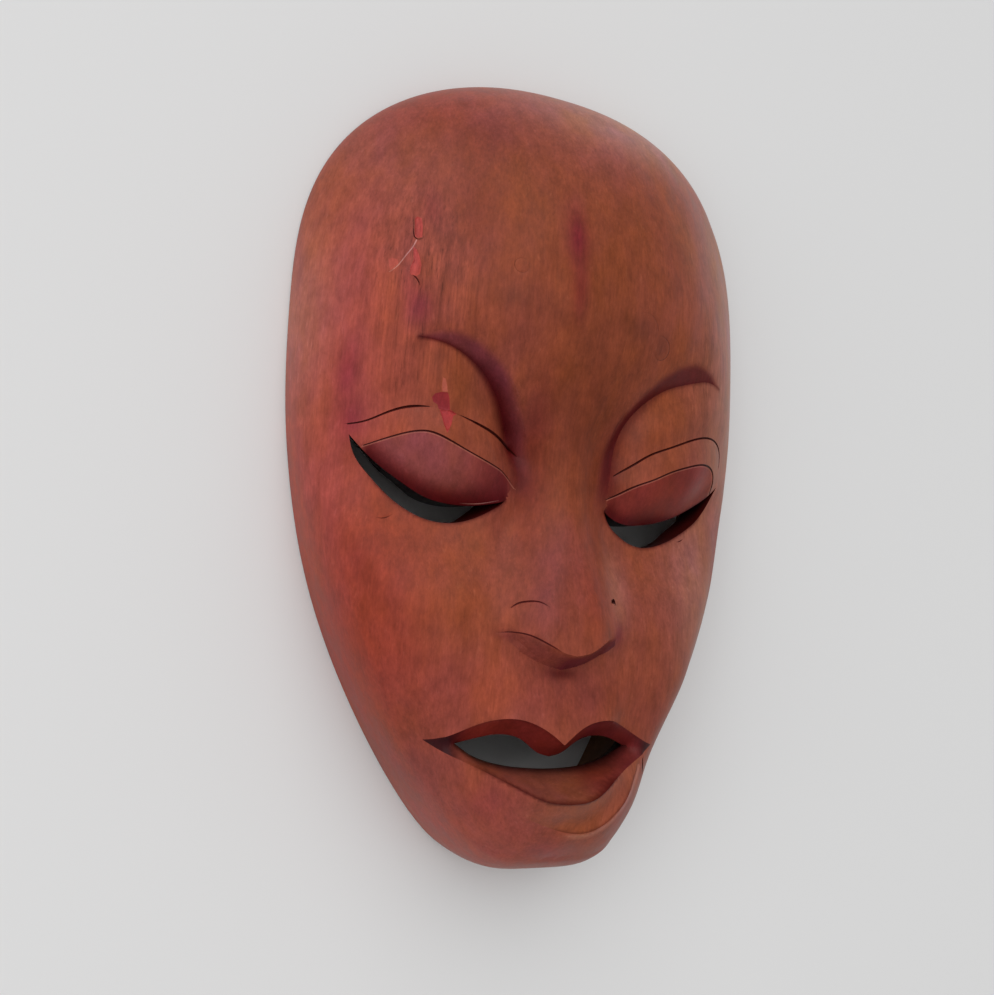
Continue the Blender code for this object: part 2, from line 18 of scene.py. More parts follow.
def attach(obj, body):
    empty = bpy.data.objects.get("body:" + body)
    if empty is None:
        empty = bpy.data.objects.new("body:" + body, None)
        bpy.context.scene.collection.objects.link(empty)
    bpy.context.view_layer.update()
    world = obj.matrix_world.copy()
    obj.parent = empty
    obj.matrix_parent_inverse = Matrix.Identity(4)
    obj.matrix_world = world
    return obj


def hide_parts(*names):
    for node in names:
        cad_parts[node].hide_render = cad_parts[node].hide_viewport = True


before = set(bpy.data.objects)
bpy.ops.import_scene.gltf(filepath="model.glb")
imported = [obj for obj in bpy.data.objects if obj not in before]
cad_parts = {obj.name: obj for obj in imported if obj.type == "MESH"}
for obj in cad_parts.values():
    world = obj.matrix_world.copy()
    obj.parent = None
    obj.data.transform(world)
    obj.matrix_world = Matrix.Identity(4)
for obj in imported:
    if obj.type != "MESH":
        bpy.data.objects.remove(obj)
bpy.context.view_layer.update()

MM = 0.001

# ---- driving dimensions
LENGTH = 240  # chin to crown
HALF_LENGTH = LENGTH / 2

# The outline, before its two ends are rounded off.
OUTLINE_STATIONS = (-120, -80, -40, 0, 40, 80, 120)  # along Y
HALF_WIDTHS = (30.1, 46.6, 62.5, 72.8, 78.2, 89.5, 99.6)
LEANS = (7.5, 2.4, 0.3, 0.6, -0.2, 0.7, 1.7)  # of its middle, towards +X
OUTLINE_POWER = (2.26, 4.44)  # superellipse powers towards the crown and the chin

STATIONS = (-120, -80, -38, 2, 40, 90)  # along Y, for the dome and the hollow
CEILING = (87, 57.8, 42, 37.8, 47.6, 52)  # height of the dome's crest line
SQUARENESS = (1.3, 2.75, 3.6, 2.7, 1.97, 1.14)  # how boxy its cross-section is
END_SQUARENESS = (1.98, 2.4)  # the same, measured towards the crown and the chin

RIM_WIDTH = (7.5, 10)  # flat back rim at the sides, and at crown and chin
HOLLOW_CEILING = (46, 35, 26, 24, 36, 40)  # inside height at the stations
HOLLOW_SQUARENESS = (3.2, 3, 3.5, 3.1, 2.1, 1.6)
MOUTH_SCOOP = (0, -79, 34, 13)  # hollowed deeper behind the lips: middle, and reach
MOUTH_SCOOP_RISE = 8
# Each opening's size at the back, as a share of the front across and along, and its shift.
EYE_FLARE = (0.9, 1.1, 0)
MOUTH_FLARE = (1.2, 1.58, 3.2)

FEATURE_FADE = (0.9, 0.985)  # carving fades out between these shares of the outline
EYE_RANGE = (-46, 56)  # y of the eyes' carving

# ---- mesh density
FACE_STEP = 0.9  # grid spacing over the carved part of the face, below FINE_BELOW
PLAIN_STEP = 1.4  # and over the forehead
FINE_BELOW = 45
HOLLOW_STEP = 2
LINE_STEP = 0.8  # point spacing along carved lines
CHIP_STEP = 0.4  # and round and inside the chips
RIM_POINTS = 480  # points round the outline
CAP_EDGE = 0.93  # the grid stops here and rings go on to the rim
SIDE_RINGS = 22
INNER_RINGS = 10
WALL_RINGS = 8  # down the walls of the openings
ON_LINE = 0.02  # a point this close to a line lies on it
GRID_REACH = (90, 125)  # how far from the middle grids go, across and along
LINE_CLEAR = 0.55  # grid points stay this share of a step off the lines
EDGE_CLEAR = 0.5  # and this share of one off the chips and the hollow's openings
FRONT_CLEAR = 0.008  # and this share of the outline off the cap edge in front
BACK_CLEAR = 0.015  # and behind

# ---- carved lines, as (distance from the middle, y)
# By side, -1 or 1.  The two were cut by hand and differ a little.
EYES = {
    -1: {
        "lid_edge": [(17.2, -10.8), (22, -12.2), (28, -13.2), (34, -13.1), (40, -11.8), (46, -8.7),
            (51, -5.7), (56, -1.9), (61.5, 3.2)],
        "cheek_edge": [(17.2, -10.8), (20.4, -13.4), (25, -16.3), (31, -18.3), (37.6, -18.3),
            (45, -15.7), (50.6, -11.8), (55.2, -7.4), (59.4, -2.2), (61.5, 3.2)],
        "lower_line": [(14.6, -6.8), (17.2, -4.2), (21, -2.4), (26.4, -0.4), (32.4, 1.9), (38, 4.2),
            (43.4, 5.7), (47, 5.2), (52, 3.3), (57.6, 0.5)],
        "upper_line": [(13.9, 2.2), (17, 5), (21.4, 7), (26.4, 8.6), (33.4, 10.9), (40, 12.4),
            (44.6, 12.5), (49.4, 11.6), (54.4, 9.2), (58.4, 7), (62, 6)],
        "brow_crease": [(47.5, 31.2), (43, 31), (38, 30), (32.6, 27.6), (27.2, 23.8), (22.6, 18.6),
            (19, 12.2), (16.2, 5), (14, -3), (13.2, -10), (13.5, -18), (14.8, -25), (16.6, -31)],
        "brow_top": [(47.5, 31.2), (43, 33.3), (38, 33.9), (32, 32.3), (26, 28.8), (21.2, 24),
            (17.4, 17.8), (14.2, 11), (11.6, 3.4), (10, -5), (9.6, -12), (10.2, -20), (12, -29)],
        "crease_depth": (0, 2.4, 4.4, 5.8, 6.6, 6.8, 6.6, 6, 4.6, 2.2, 0),
    },
    1: {
        "lid_edge": [(16.4, -10.6), (19.3, -12.9), (24, -14), (30, -13.6), (37, -12.1), (44, -9.6),
            (51, -6), (57, -2.3), (60.8, 1.2)],
        "cheek_edge": [(16.4, -10.6), (18.2, -14.2), (21.2, -17.2), (25.8, -19.5), (31.4, -20.3),
            (37.6, -19), (45, -15.6), (51.8, -11.2), (57.4, -5.4), (60.8, 1.2)],
        "lower_line": [(15.8, -7.2), (19.4, -5.2), (23.2, -2.6), (28.4, -0.2), (34, 2.6), (40, 4.8),
            (45.4, 6.3), (50.4, 6.8), (54.6, 5.6), (57, 2.6), (57.6, -1.2)],
        "upper_line": [(17.6, 0), (21.4, 2.8), (27, 6.9), (34, 10), (41, 12.8), (47.8, 15),
            (53.4, 15.6), (57.6, 14.6), (60.2, 12), (61, 7.6)],
        "brow_crease": [(55.5, 31.5), (51, 32.8), (45.5, 32), (40, 30.4), (34, 28.2), (28, 24.6),
            (22.8, 19.8), (19, 14.2), (17.2, 8), (16.4, 0), (15.4, -10), (15.4, -18), (16, -25),
            (17, -31)],
        "brow_top": [(55.5, 31.5), (52.8, 34.2), (48.4, 36.6), (42.6, 37.2), (37, 35.6), (31, 32.2),
            (25.4, 27.2), (20.4, 21.6), (16, 15.6), (13.4, 9), (12.4, 1), (11.4, -9), (11.2, -19),
            (12.6, -29)],
        "crease_depth": (0, 2.4, 4.2, 4.9, 5, 4.8, 4.6, 4.3, 3.6, 2, 0),
    },
}
# Values below are spread evenly along their line.  On the brow: how far the hollow under
# the crease reaches, how far the edge above it drops, and how far up that drop reaches.
CREASE_REACH = (9, 10, 11, 11, 10, 8, 7, 6.5, 7, 9, 11)
BROW_DROP = (0, 0.5, 1.1, 1.5, 1.9, 2.3, 2.6, 2.4, 1.6, 0.7, 0)
BROW_REACH = (10, 12, 14, 15, 15, 14, 12, 10.5, 10, 10, 10)

# Offsets from the dome along the eye's lines, from the inner corner outwards.
EYE_OFFSETS = {
    "lid_edge": (-1.2, -3.6, -5.2, -5.4, -5, -4.4, -3.4, -1.2),
    "lower_line": (-1.2, 0.8, 2.2, 3, 3.1, 2.5, 1.2, -2),  # the lid's crest
    "upper_line": (-1.2, -0.6, -0.3, -0.3, -0.3, -0.5, -0.8, -1.2),
    "cheek_edge": (-1.2, -3.8, -5.2, -5.6, -5.4, -5, -4.4, -3.4, -1.2),
}
LID_REACH = 10  # the brow's skin comes back to the dome this far up
CHEEK_REACH = 22  # and the cheek this far down

NOSE_STATIONS = (-50, -44, -37, -27, -15, -4, 6, 16, 30)
NOSE_HEIGHT = (9.4, 9.4, 8.8, 7, 5, 3.2, 1.6, 0.5, 0)
NOSE_PLAN = (-50, -44, -36, -20, 0, 20)  # stations for the next two rows
NOSE_RIDGE = (4.5, 5.6, 4.6, 3, 1, 0)  # half-width of the flat top
NOSE_FOOT = (21, 21, 19.5, 17, 15, 14)  # half-width where it meets the cheeks
NOSE_WING = (13.5, -43, 6.5, 6.5)  # middle, and reach across and along
NOSE_WING_RISE = 1.3
NOSE_TIP = [(0, -51.6), (4.5, -50.6), (9, -48.4), (13, -46.8), (17, -46.6), (20.5, -47.2)]
NOSE_BASE = [(0, -56.4), (6, -55), (11, -52.8), (15, -50.4), (18, -48.6), (20.5, -47.8)]

# The mouth: its outer edge and the opening inside it, each with its offsets from the dome.
LIPS = {
    "upper": ([(35.4, -78), (32, -76.8), (27.5, -74.6), (22, -71.8), (15.6, -69.8), (9.6, -70.6),
        (4.4, -73), (0, -76.2)],
        (-3, -3.8, -4.2, -2.4, 1.2, 1.8, 2.6, 3.4)),
    "lower": ([(35.4, -78), (31, -80.4), (26, -82.4), (20, -84.8), (13, -87.8), (6, -90.4), (0, -90.9)],
        (-3, -2.8, -1.4, 1.8, 5.6, 7.8, 8.2)),
    "opening_top": ([(26.5, -78.6), (22, -76.6), (17, -75.2), (12.5, -75.2), (8, -77), (3.5, -80),
        (0, -80.9)],
        (-9, -7.6, -6.2, -5.2, -5.2, -5.5, -5.5)),
    "opening_low": ([(26.5, -78.6), (21, -82), (14, -84), (7, -84.8), (0, -85)],
        (-9, -10.2, -10, -9.4, -9)),
}
UPPER_LIP_REACH = 24  # how far the lips' relief carries into the face
LOWER_LIP_REACH = (24, 16, 11, 9, 9)
LIP_BLEND = 2  # rounds the skin over the notch between the lobes
CORNER_X, CORNER_Y = LIPS["upper"][0][0]
CHIN_FOLD = [(-33, -81), (-27, -85.6), (-21, -90), (-14, -94), (-7, -97), (-1, -99.2), (5, -100.7),
             (10, -100.8), (15, -98.6), (20, -94), (24.5, -88.6), (29, -83.2), (33, -79.4)]
CHIN_FOLD_RISE = (0, 0, 0.1, 0.5, 1.1, 1.8, 2.4, 2.7, 2.6, 1.8, 0.8, 0)
CHIN_FOLD_FALL = 3.5  # how steeply it falls on the lip's side
CHIN_FOLD_REACH = 9


# ---- curves
def smooth(t):
    """Smooth step from 0 to 1."""
    t = np.clip(t, 0.0, 1.0)
    return t * t * (3 - 2 * t)


def ramp(value, start, end):
    """Smooth step from 0 at the start to 1 at the end."""
    return smooth((value - start) / (end - start))


def between(value, low, high):
    return (value > low) & (value < high)


def blob(x, y, middle_x, middle_y, across, along):
    """1 at the middle, fading to 0 over the reach across and along."""
    return np.exp(-((x - middle_x) / across)**2 - ((y - middle_y) / along)**2)


def fade(away, reach):
    """Smooth step from 1 on a line to 0 at the reach."""
    return 1 - smooth(away / reach)


def spline(knots, values):
    """Natural cubic spline through the values at the knots, flat beyond the ends."""
    k = np.array(knots, float)
    v = np.array(values, float).reshape(len(k), -1)
    h = np.diff(k)
    system = np.eye(len(k))
    for i in range(1, len(k) - 1):
        system[i, i - 1:i + 2] = h[i - 1], 2 * (h[i - 1] + h[i]), h[i]
    right = np.zeros_like(v)
    right[1:-1] = 6 * np.diff(np.diff(v, axis=0) / h[:, None], axis=0)
    bend = np.linalg.solve(system, right)

    def at(x):
        x = np.clip(x, k[0], k[-1])
        i = np.clip(np.searchsorted(k, x, side="right") - 1, 0, len(k) - 2)
        before = (x - k[i])[..., None]
        after = (k[i + 1] - x)[..., None]
        step = h[i][..., None]
        result = (bend[i] * after**3 + bend[i + 1] * before**3) / (6 * step)
        result += (v[i] / step - bend[i] * step / 6) * after
        result += (v[i + 1] / step - bend[i + 1] * step / 6) * before
        return result[..., 0] if v.shape[1] == 1 else result

    return at


class Line:
    """A spline through points, with values spread evenly along it."""

    def __init__(self, points, samples=160, **along):
        points = np.array(points, float)
        run = np.r_[0, np.cumsum(np.hypot(*np.diff(points, axis=0).T))]
        self.length = run[-1]
        at = np.linspace(0, self.length, samples)
        self.points = spline(run, points)(at)
        self.box = self.points.min(0), self.points.max(0)
        self.index = np.arange(samples)
        self.along = {name: spline(np.linspace(0, self.length, len(values)), values)(at)
                      for name, values in along.items()}

    def near(self, x, y):
        """Distance to the line, which side of it, and a reader of its values."""
        start = self.points[:-1]
        step = np.diff(self.points, axis=0)
        dx = x.ravel()[:, None] - start[:, 0]
        dy = y.ravel()[:, None] - start[:, 1]
        t = np.clip((dx * step[:, 0] + dy * step[:, 1]) / (step**2).sum(1), 0, 1)
        gap = (dx - t * step[:, 0])**2 + (dy - t * step[:, 1])**2
        i = gap.argmin(1)
        row = np.arange(len(i))
        side = np.sign(step[i, 0] * dy[row, i] - step[i, 1] * dx[row, i])
        place = i + t[row, i]

        def value(name):
            return np.interp(place, self.index, self.along[name]).reshape(x.shape)

        return np.sqrt(gap[row, i]).reshape(x.shape), side.reshape(x.shape), value

    def y_at(self, x):
        order = np.argsort(self.points[:, 0], kind="stable")
        return np.interp(x, *self.points[order].T)

    def sampled(self, values=None):
        """Points about LINE_STEP apart, or one of the values there."""
        count = max(2, round(self.length / LINE_STEP) + 1)
        at = np.linspace(0, len(self.index) - 1, count)
        if values:
            return np.interp(at, self.index, self.along[values])
        return np.array([np.interp(at, self.index, row) for row in self.points.T]).T


def inside_loop(loop, x, y):
    """Whether points lie inside a closed loop."""
    ax, ay = loop.T
    bx, by = np.roll(loop, -1, 0).T
    px, py = x[:, None], y[:, None]
    crosses = (ay > py) != (by > py)
    level = np.where(by == ay, 1, by - ay)
    return ((crosses & (px < (bx - ax) * (py - ay) / level + ax)).sum(1) % 2).astype(bool)


# ---- the dome
half_width_at = spline(OUTLINE_STATIONS, HALF_WIDTHS)
lean_at = spline(OUTLINE_STATIONS, LEANS)
FRONT_DOME = spline(STATIONS, CEILING), spline(STATIONS, SQUARENESS)
HOLLOW_DOME = spline(STATIONS, HOLLOW_CEILING), spline(STATIONS, HOLLOW_SQUARENESS)


def outline_terms(y):
    """Place along the length, outline power, half-width and lean at y."""
    t = y / HALF_LENGTH
    return t, np.where(t > 0, *OUTLINE_POWER), half_width_at(y), lean_at(y)


def outline_place(x, y):
    """0 on the middle, 1 on the outline, and how much of it lies along the length."""
    t, power, half_width, lean = outline_terms(y)
    lengthwise = np.abs(t)**power
    total = lengthwise + (np.abs(x - lean) / half_width)**power
    return total**(1 / power), lengthwise / np.maximum(total, 1e-12)


def share_of_outline(x, y):
    return outline_place(x, y)[0]


def outline_ring(share):
    """Points round the outline shrunk to a share of its size."""
    turn = np.linspace(0, 2 * math.pi, RIM_POINTS, endpoint=False)
    y = HALF_LENGTH * share * np.sin(turn)
    t, power, half_width, lean = outline_terms(y)
    reach = np.maximum(share**power - np.abs(t)**power, 0)**(1 / power)
    return np.c_[lean + half_width * reach * np.sign(np.cos(turn)), y]


def dome(x, y, ceiling_at, squareness_at):
    """Height of a dome, and the share of the outline."""
    share, lengthwise = outline_place(x, y)
    power = squareness_at(y)
    power = power + (np.where(y > 0, *END_SQUARENESS) - power) * lengthwise
    return ceiling_at(y) * np.maximum(1 - np.minimum(share, 1)**power, 0)**(1 / power), share


# ---- the carving
def eye_lines(eye):
    lines = {name: Line(eye[name], offset=offset) for name, offset in EYE_OFFSETS.items()}
    lines["brow_crease"] = Line(eye["brow_crease"], depth=eye["crease_depth"], reach=CREASE_REACH)
    lines["brow_top"] = Line(eye["brow_top"], drop=BROW_DROP, reach=BROW_REACH)
    return lines


EYE_LINES = {side: eye_lines(eye) for side, eye in EYES.items()}
LIP_LINES = {name: Line(points, rise=rise, reach=LOWER_LIP_REACH)
             for name, (points, rise) in LIPS.items()}
NOSE_TIP_LINE, NOSE_BASE_LINE = Line(NOSE_TIP), Line(NOSE_BASE)
CHIN_FOLD_LINE = Line(CHIN_FOLD, rise=CHIN_FOLD_RISE)
nose_height = spline(NOSE_STATIONS, NOSE_HEIGHT)
nose_ridge = spline(NOSE_PLAN, NOSE_RIDGE)
nose_foot = spline(NOSE_PLAN, NOSE_FOOT)


def share_between(first, second):
    """0 on the first line and 1 on the second, from the distances to them."""
    return first / np.maximum(first + second, 1e-6)


def readings(lines, name, x, y):
    """Distance to each line, and its named value."""
    near = {key: line.near(x, y) for key, line in lines.items()}
    return ({key: away for key, (away, _, _) in near.items()},
            {key: value(name) for key, (_, _, value) in near.items()})


def brow_cut(lines, u, y):
    """A bevel from the brow's edge down to its crease, and a hollow below the crease."""
    away, side, crease = lines["brow_crease"].near(u, y)
    from_top, top_side, top = lines["brow_top"].near(u, y)
    depth, drop = crease("depth"), top("drop")
    bevel = depth + (drop - depth) * share_between(away, from_top)**0.8
    hollow = depth * fade(away, crease("reach"))
    above = drop * fade(from_top, top("reach"))
    return -np.where(side > 0, hollow, np.where(top_side > 0, bevel, above))


def within(first, second, x, y):
    """Whether points lie between two lines that run the same way."""
    return inside_loop(np.vstack([first.points[::4], second.points[::-4]]), x, y)


def lid_and_cheek(lines, u, y):
    """The lid swells above the slit, and the cheek is scooped out below it."""
    away, offset = readings({name: lines[name] for name in EYE_OFFSETS}, "offset", u, y)
    swell = 1 - (1 - share_between(away["lid_edge"], away["lower_line"]))**2
    lid = offset["lid_edge"] + (offset["lower_line"] - offset["lid_edge"]) * swell
    rise = share_between(away["lower_line"], away["upper_line"])**2
    band = offset["lower_line"] + (offset["upper_line"] - offset["lower_line"]) * rise

    above = offset["upper_line"] * fade(away["upper_line"], LID_REACH)
    below = offset["cheek_edge"] * fade(away["cheek_edge"], CHEEK_REACH)
    share = share_between(away["upper_line"]**2, away["cheek_edge"]**2)

    on_lid = within(lines["lid_edge"], lines["lower_line"], u, y) | (away["lid_edge"] < ON_LINE)
    on_eye = within(lines["lid_edge"], lines["upper_line"], u, y)
    return np.where(on_lid, lid, np.where(on_eye, band, above + (below - above) * share))


def nose(u, y):
    """A wedge that widens to the wings, cut off below by a steep underside."""
    slope = ramp(u, nose_ridge(y), nose_foot(y))
    tip, foot = NOSE_TIP_LINE.y_at(u), NOSE_BASE_LINE.y_at(u)
    underside = np.clip((y - foot) / (tip - foot), 0, 1)
    wing = NOSE_WING_RISE * blob(u, y, *NOSE_WING)
    return (nose_height(y) * (1 - slope) + wing) * underside


def softly_near(line, x, y):
    """Distance and rise of a line and its mirror image, blended across the middle."""
    near, _, value = line.near(x, y)
    far, _, far_value = line.near(-x, y)
    apart = np.exp(-(far - near) / LIP_BLEND)
    weight = 1 / (1 + apart)
    away = near - LIP_BLEND * np.log1p(apart)
    return np.maximum(away, 0), value("rise") * weight + far_value("rise") * (1 - weight)


def in_mouth(u, y):
    """Whether points lie between the mouth's outer edges, and above its middle."""
    level = {name: line.y_at(u) for name, line in LIP_LINES.items()}
    inside = (u < CORNER_X) & between(y, level["lower"], level["upper"])
    return inside, y > (level["opening_top"] + level["opening_low"]) / 2


def mouth(x, y):
    """Lips: bevels that run in to the opening, and relief that dies away outside."""
    u = np.abs(x)
    away, rise = readings(LIP_LINES, "rise", u, y)
    def bevel(outer, inner):
        return rise[outer] + (rise[inner] - rise[outer]) * share_between(away[outer], away[inner])

    inside, upper = in_mouth(u, y)
    lips = np.where(upper, bevel("upper", "opening_top"), bevel("lower", "opening_low"))
    from_upper, upper_rise = softly_near(LIP_LINES["upper"], u, y)
    reach = np.where(y > CORNER_Y, UPPER_LIP_REACH, LIP_LINES["lower"].near(u, y)[2]("reach"))
    above = upper_rise * fade(from_upper, reach)
    below = rise["lower"] * fade(away["lower"], reach)
    return np.where(inside, lips, np.where(y > CORNER_Y, above, below))


def chin_fold(x, y):
    """The ridge round the chin: it falls to the lower lip inside and dies away outside."""
    away, side, value = CHIN_FOLD_LINE.near(x, y)
    lower = LIP_LINES["lower"]
    from_lip, _, _ = lower.near(np.abs(x), y)
    inside = value("rise") * (1 - share_between(away, from_lip))**CHIN_FOLD_FALL
    outside = value("rise") * fade(away, CHIN_FOLD_REACH)
    return np.where(side > 0, inside * (y < lower.y_at(np.abs(x))), outside)


def face_height(x, y):
    """Height of the front surface over the plan."""
    height, share = dome(x, y, *FRONT_DOME)
    carving = np.zeros_like(x)
    u = np.abs(x)
    for side, lines in EYE_LINES.items():
        here = (x * side > 0) & between(y, *EYE_RANGE)
        carving[here] += brow_cut(lines, u[here], y[here])
        carving[here] += lid_and_cheek(lines, u[here], y[here])
    here = between(y, NOSE_BASE[0][1], NOSE_STATIONS[-1])
    carving[here] += nose(u[here], y[here])
    here = y < NOSE_STATIONS[1]
    carving[here] += mouth(x[here], y[here]) + chin_fold(x[here], y[here])
    return height + carving * (1 - ramp(share, *FEATURE_FADE))


# ---- the hollow
HOLLOW_SCALE = np.array((1 - RIM_WIDTH[0] / HALF_WIDTHS[3], 1 - RIM_WIDTH[1] / HALF_LENGTH))


def hollow_ring(share):
    return outline_ring(share) * HOLLOW_SCALE


def hollow_height(x, y):
    """Height of the hollow's ceiling over the plan."""
    height, share = dome(x / HOLLOW_SCALE[0], y / HOLLOW_SCALE[1], *HOLLOW_DOME)
    return height + MOUTH_SCOOP_RISE * blob(x, y, *MOUTH_SCOOP) * fade(share, 1)


# ---- openings
def opening_loops():
    """The eye slits and the mouth, as closed loops in plan."""
    for side, lines in EYE_LINES.items():
        out, back = (lines[name].sampled() for name in ("lid_edge", "cheek_edge"))
        yield np.vstack([out, back[::-1][1:-1]]) * (side, 1)
    top, low = (LIP_LINES[name].sampled() for name in ("opening_top", "opening_low"))
    half = np.vstack([low[::-1], top[1:]])
    yield np.vstack([half, half[1:-1][::-1] * (-1, 1)])


def flared(loop, across, along, shift):
    """The same loop at the back of the wall, scaled about its middle and shifted."""
    middle = (loop.min(0) + loop.max(0)) / 2
    return middle + (loop - middle) * (across, along) + (shift, 0)


OPENINGS = list(opening_loops())
BACKS = [flared(loop, *flare) for loop, flare in zip(OPENINGS, (EYE_FLARE, EYE_FLARE, MOUTH_FLARE))]


# ---- finer carving
# Knife lines: V-shaped cuts, wider where they are deeper, as (stain, side where a painted
# highlight lies along the edge, depths along it, points).  The side is 1 for left, -1 for right,
# 0 for neither.
def eye_line(side, name):
    return np.array(EYES[side][name]) * (side, 1)


CUTS = [
    ("cut", 1, (0.02, 0.12, 0.16, 0.18, 0.2, 0.3, 0.3, 0.24, 0.2, 0.1), eye_line(-1, "lower_line")),
    ("cut", 0, (0.05, 0.7, 0.72, 0.6, 0.42, 0.1, 0, 0, 0.4, 0.42, 0.3, 0.26, 0.2),
     eye_line(-1, "upper_line")),
    ("cut", -1, (0.1, 0.3, 0.26, 0.26, 0.28, 0.3, 0.34, 0.44, 0.46, 0.3), eye_line(1, "lower_line")),
    ("cut", 0, (0.15, 0.36, 0.36, 0.34, 0.34, 0.36, 0.38, 0.42, 0.44, 0.2),
     eye_line(1, "upper_line")),
    ("nick", 0, (0.06, 0.22, 0.26, 0.18, 0.02),
     [(-16.9, -40.1), (-15.1, -38.7), (-12.6, -37.9), (-10, -37.8), (-7.8, -39)]),
    ("cut", 0, (0.3, 1, 0.3), [(15.5, -36.9), (16.3, -36.4), (17, -37.1)]),
    ("nick", 0, (0.02, 0.18, 0.2, 0.14, 0), [(-x, y) for x, y in NOSE_TIP[1:]]),
    ("ring", 0, (0.02, 0.05, 0.08, 0.08, 0.06, 0.03),
     [(22.5, 41.5), (26, 42), (29.2, 39.6), (28.4, 36.4), (25, 35.2), (22.6, 37.4)]),
    ("ring", 0, (0.02, 0.04, 0.06, 0.02), [(15, 46.4), (20, 47.6), (23.4, 44), (22.6, 40)]),
    ("ring", 0, (0.02, 0.05, 0.06, 0.05, 0.02),
     [(-22.2 + 2.1 * math.cos(t / 3), 54.2 + 2.1 * math.sin(t / 3)) for t in range(2, 20)]),
    ("rub", 0, (0.01, 0.03, 0.03, 0.01), [(-22, 24.2), (-19.8, 21.8), (-17.8, 19.2), (-16, 16.5)]),
    ("rub", 0, (0.01, 0.03, 0.01), [(-16.2, 14.5), (-14.5, 11.2), (-13, 8)]),
    ("nick", 0, (0.02, 0.06, 0.06, 0.02), [(18.8, 20.2), (16.8, 17), (15.2, 13.5), (14.8, 10.2)]),
    ("nick", 0, (0.02, 0.05, 0.02), [(21.8, 22.5), (19.8, 19.5), (17.8, 16.8)]),
    ("pale", 0, (0.01, 0.03, 0.01), [(-14.6, -48.7), (-12.6, -50.3), (-10.2, -52)]),
    ("nick", 0, (0.02, 0.08, 0.08, 0.02),
     [(-53, -18.7), (-51.2, -18.9), (-49.6, -18.4), (-48.2, -17.5)]),
    ("cut", 0, (0.1, 0.4, 0.2), [(31.4, -81.4), (31.7, -83.5), (32.2, -85.8)]),
    ("scratch_and_highlight", 0, (0.1, 0.08, 0.07, 0.07, 0.04),
     [(-49.5, 58.2), (-50.2, 56.5), (-52.2, 53.2), (-54, 50.3), (-55.9, 48.4)]),
    ("nick", 0, (0.02, 0.04, 0.05, 0.1, 0.15, 0.04),
     [(-50.1, 67), (-50.2, 63), (-50.2, 60), (-49.9, 58.9), (-49.2, 58.5), (-48, 58.8)]),
    ("nick", 0, (0.04, 0.16, 0.14, 0.02), [(-50.2, 48), (-49.4, 47.4), (-48.9, 46.6), (-48.4, 45.2)]),
    # a painted highlight along the left lid's lower edge, in a very shallow cut
    ("scratch_and_highlight", 0, (0.02, 0.05, 0.05, 0.02),
     [(-30, -12.7), (-26, -12.5), (-22.2, -11.7), (-19.4, -10.9)]),
    ("nick", 0, (0.02, 0.12, 0.02), [(44.6, -17.5), (46.2, -17.1), (47.6, -16.3)]),
]
CUT_LINES = [Line(points, depth=depth) for _, _, depth, points in CUTS]
CUT_SLOPE = 0.62  # half-width of a cut gained for each mm of its depth
CUT_LEAST = 0.09  # and its half-width where it only scratches
CUT_REACH = 1  # nothing of a cut lies further off
LIGHT_EDGE = 0.3  # width of the painted highlight beside a cut


def cut_width(depth):
    return CUT_LEAST + CUT_SLOPE * depth


# Chips: flakes split off, which show the first red coat, as (stain, depth, outline).
CHIPS = [
    ("coral", 0.4, [(-49.9, 64.6), (-49.4, 65.3), (-48.3, 64.8), (-48, 62.4), (-48.1, 59.2),
        (-49.3, 58.9), (-49.9, 59.4)]),
    ("coral", 0.35, [(-50.3, 56.2), (-49.4, 55.4), (-48.7, 53.5), (-48.2, 51), (-48.5, 48.4),
        (-49.6, 47.6), (-50.9, 48.2), (-50.9, 50.2), (-50.1, 52.4)]),
    ("pale_coral", 0.12, [(-56.1, 52.2), (-55.2, 52.6), (-54, 52.2), (-53.7, 51), (-55.6, 48.7),
        (-56, 50.4)]),
    ("red", 0.15, [(-42.3, 15.2), (-41.6, 16.3), (-40, 16.9), (-38.3, 16.9), (-37.7, 15.4), (-37.1, 12.3),
        (-38.5, 12), (-40.2, 12.2), (-40.6, 13.4), (-41.8, 14)]),
    ("red_wood", 0.35, [(-40, 12.1), (-38.5, 12), (-36.8, 12.3), (-35.2, 11.4), (-36.3, 10.6), (-37, 8.2),
        (-38.1, 5.7), (-39.1, 7.9), (-39.5, 9.8)]),
    ("pale_red", 0.1, [(-40.1, 20.8), (-39.4, 20.6), (-38.8, 18.8), (-38.4, 17.1), (-39.8, 17),
        (-40.2, 19.2)]),
]
CHIP_EDGE = 0.35  # how wide a chip's sloping edge is
CHIP_RIM_STEP = 0.1

UNEVEN = {"height": 0.12, "lengths": (11, 14, 17, 22, 27, 34), "fade": (0.9, 0.93), "seed": 4}
GOUGE = {"span": (85.0, 125.0), "size": (8, 13), "shift": 0.4, "reach": 0.6, "depth": 0.9,
         "fade": (0.8, 0.92), "seed": 7}
SAND_ROUNDS = 24
SAND_STEP = 0.7  # how far a round moves a point towards its neighbours' mean
SAND_WEIGHTS = (0.02, 5)  # a neighbour's least and greatest weight
# The eyes' inner corners are worn smooth: their middles, and reach across and along.
INNER_CORNERS = [(-13.5, -5, 5, 6.5), (16.5, -4, 5, 6.5)]
CORNER_ROUNDS = 90
CORNER_WORN = 1.4  # wear at an inner corner's middle, kept to 1
# Where crisp lines end: the lips and nose in x, the lid's lower line and the brow in y.
CRISP_LIPS = 31.5
CRISP_NOSE_TIP, CRISP_NOSE_BASE = 15, 13
CRISP_LID, CRISP_CREASE, CRISP_BROW = -3.4, -2, -6
CRISP_FOLD = (-8, 28)
FACE, RIM, HOLLOW, WALL = range(4)  # kinds of skin
FLAT_WELD, WELD = 1e-5, 0.002  # points this close are one, in plan and in the mesh
CRISP_ANGLE = math.radians(38)  # edges bent more than this are shaded crisp


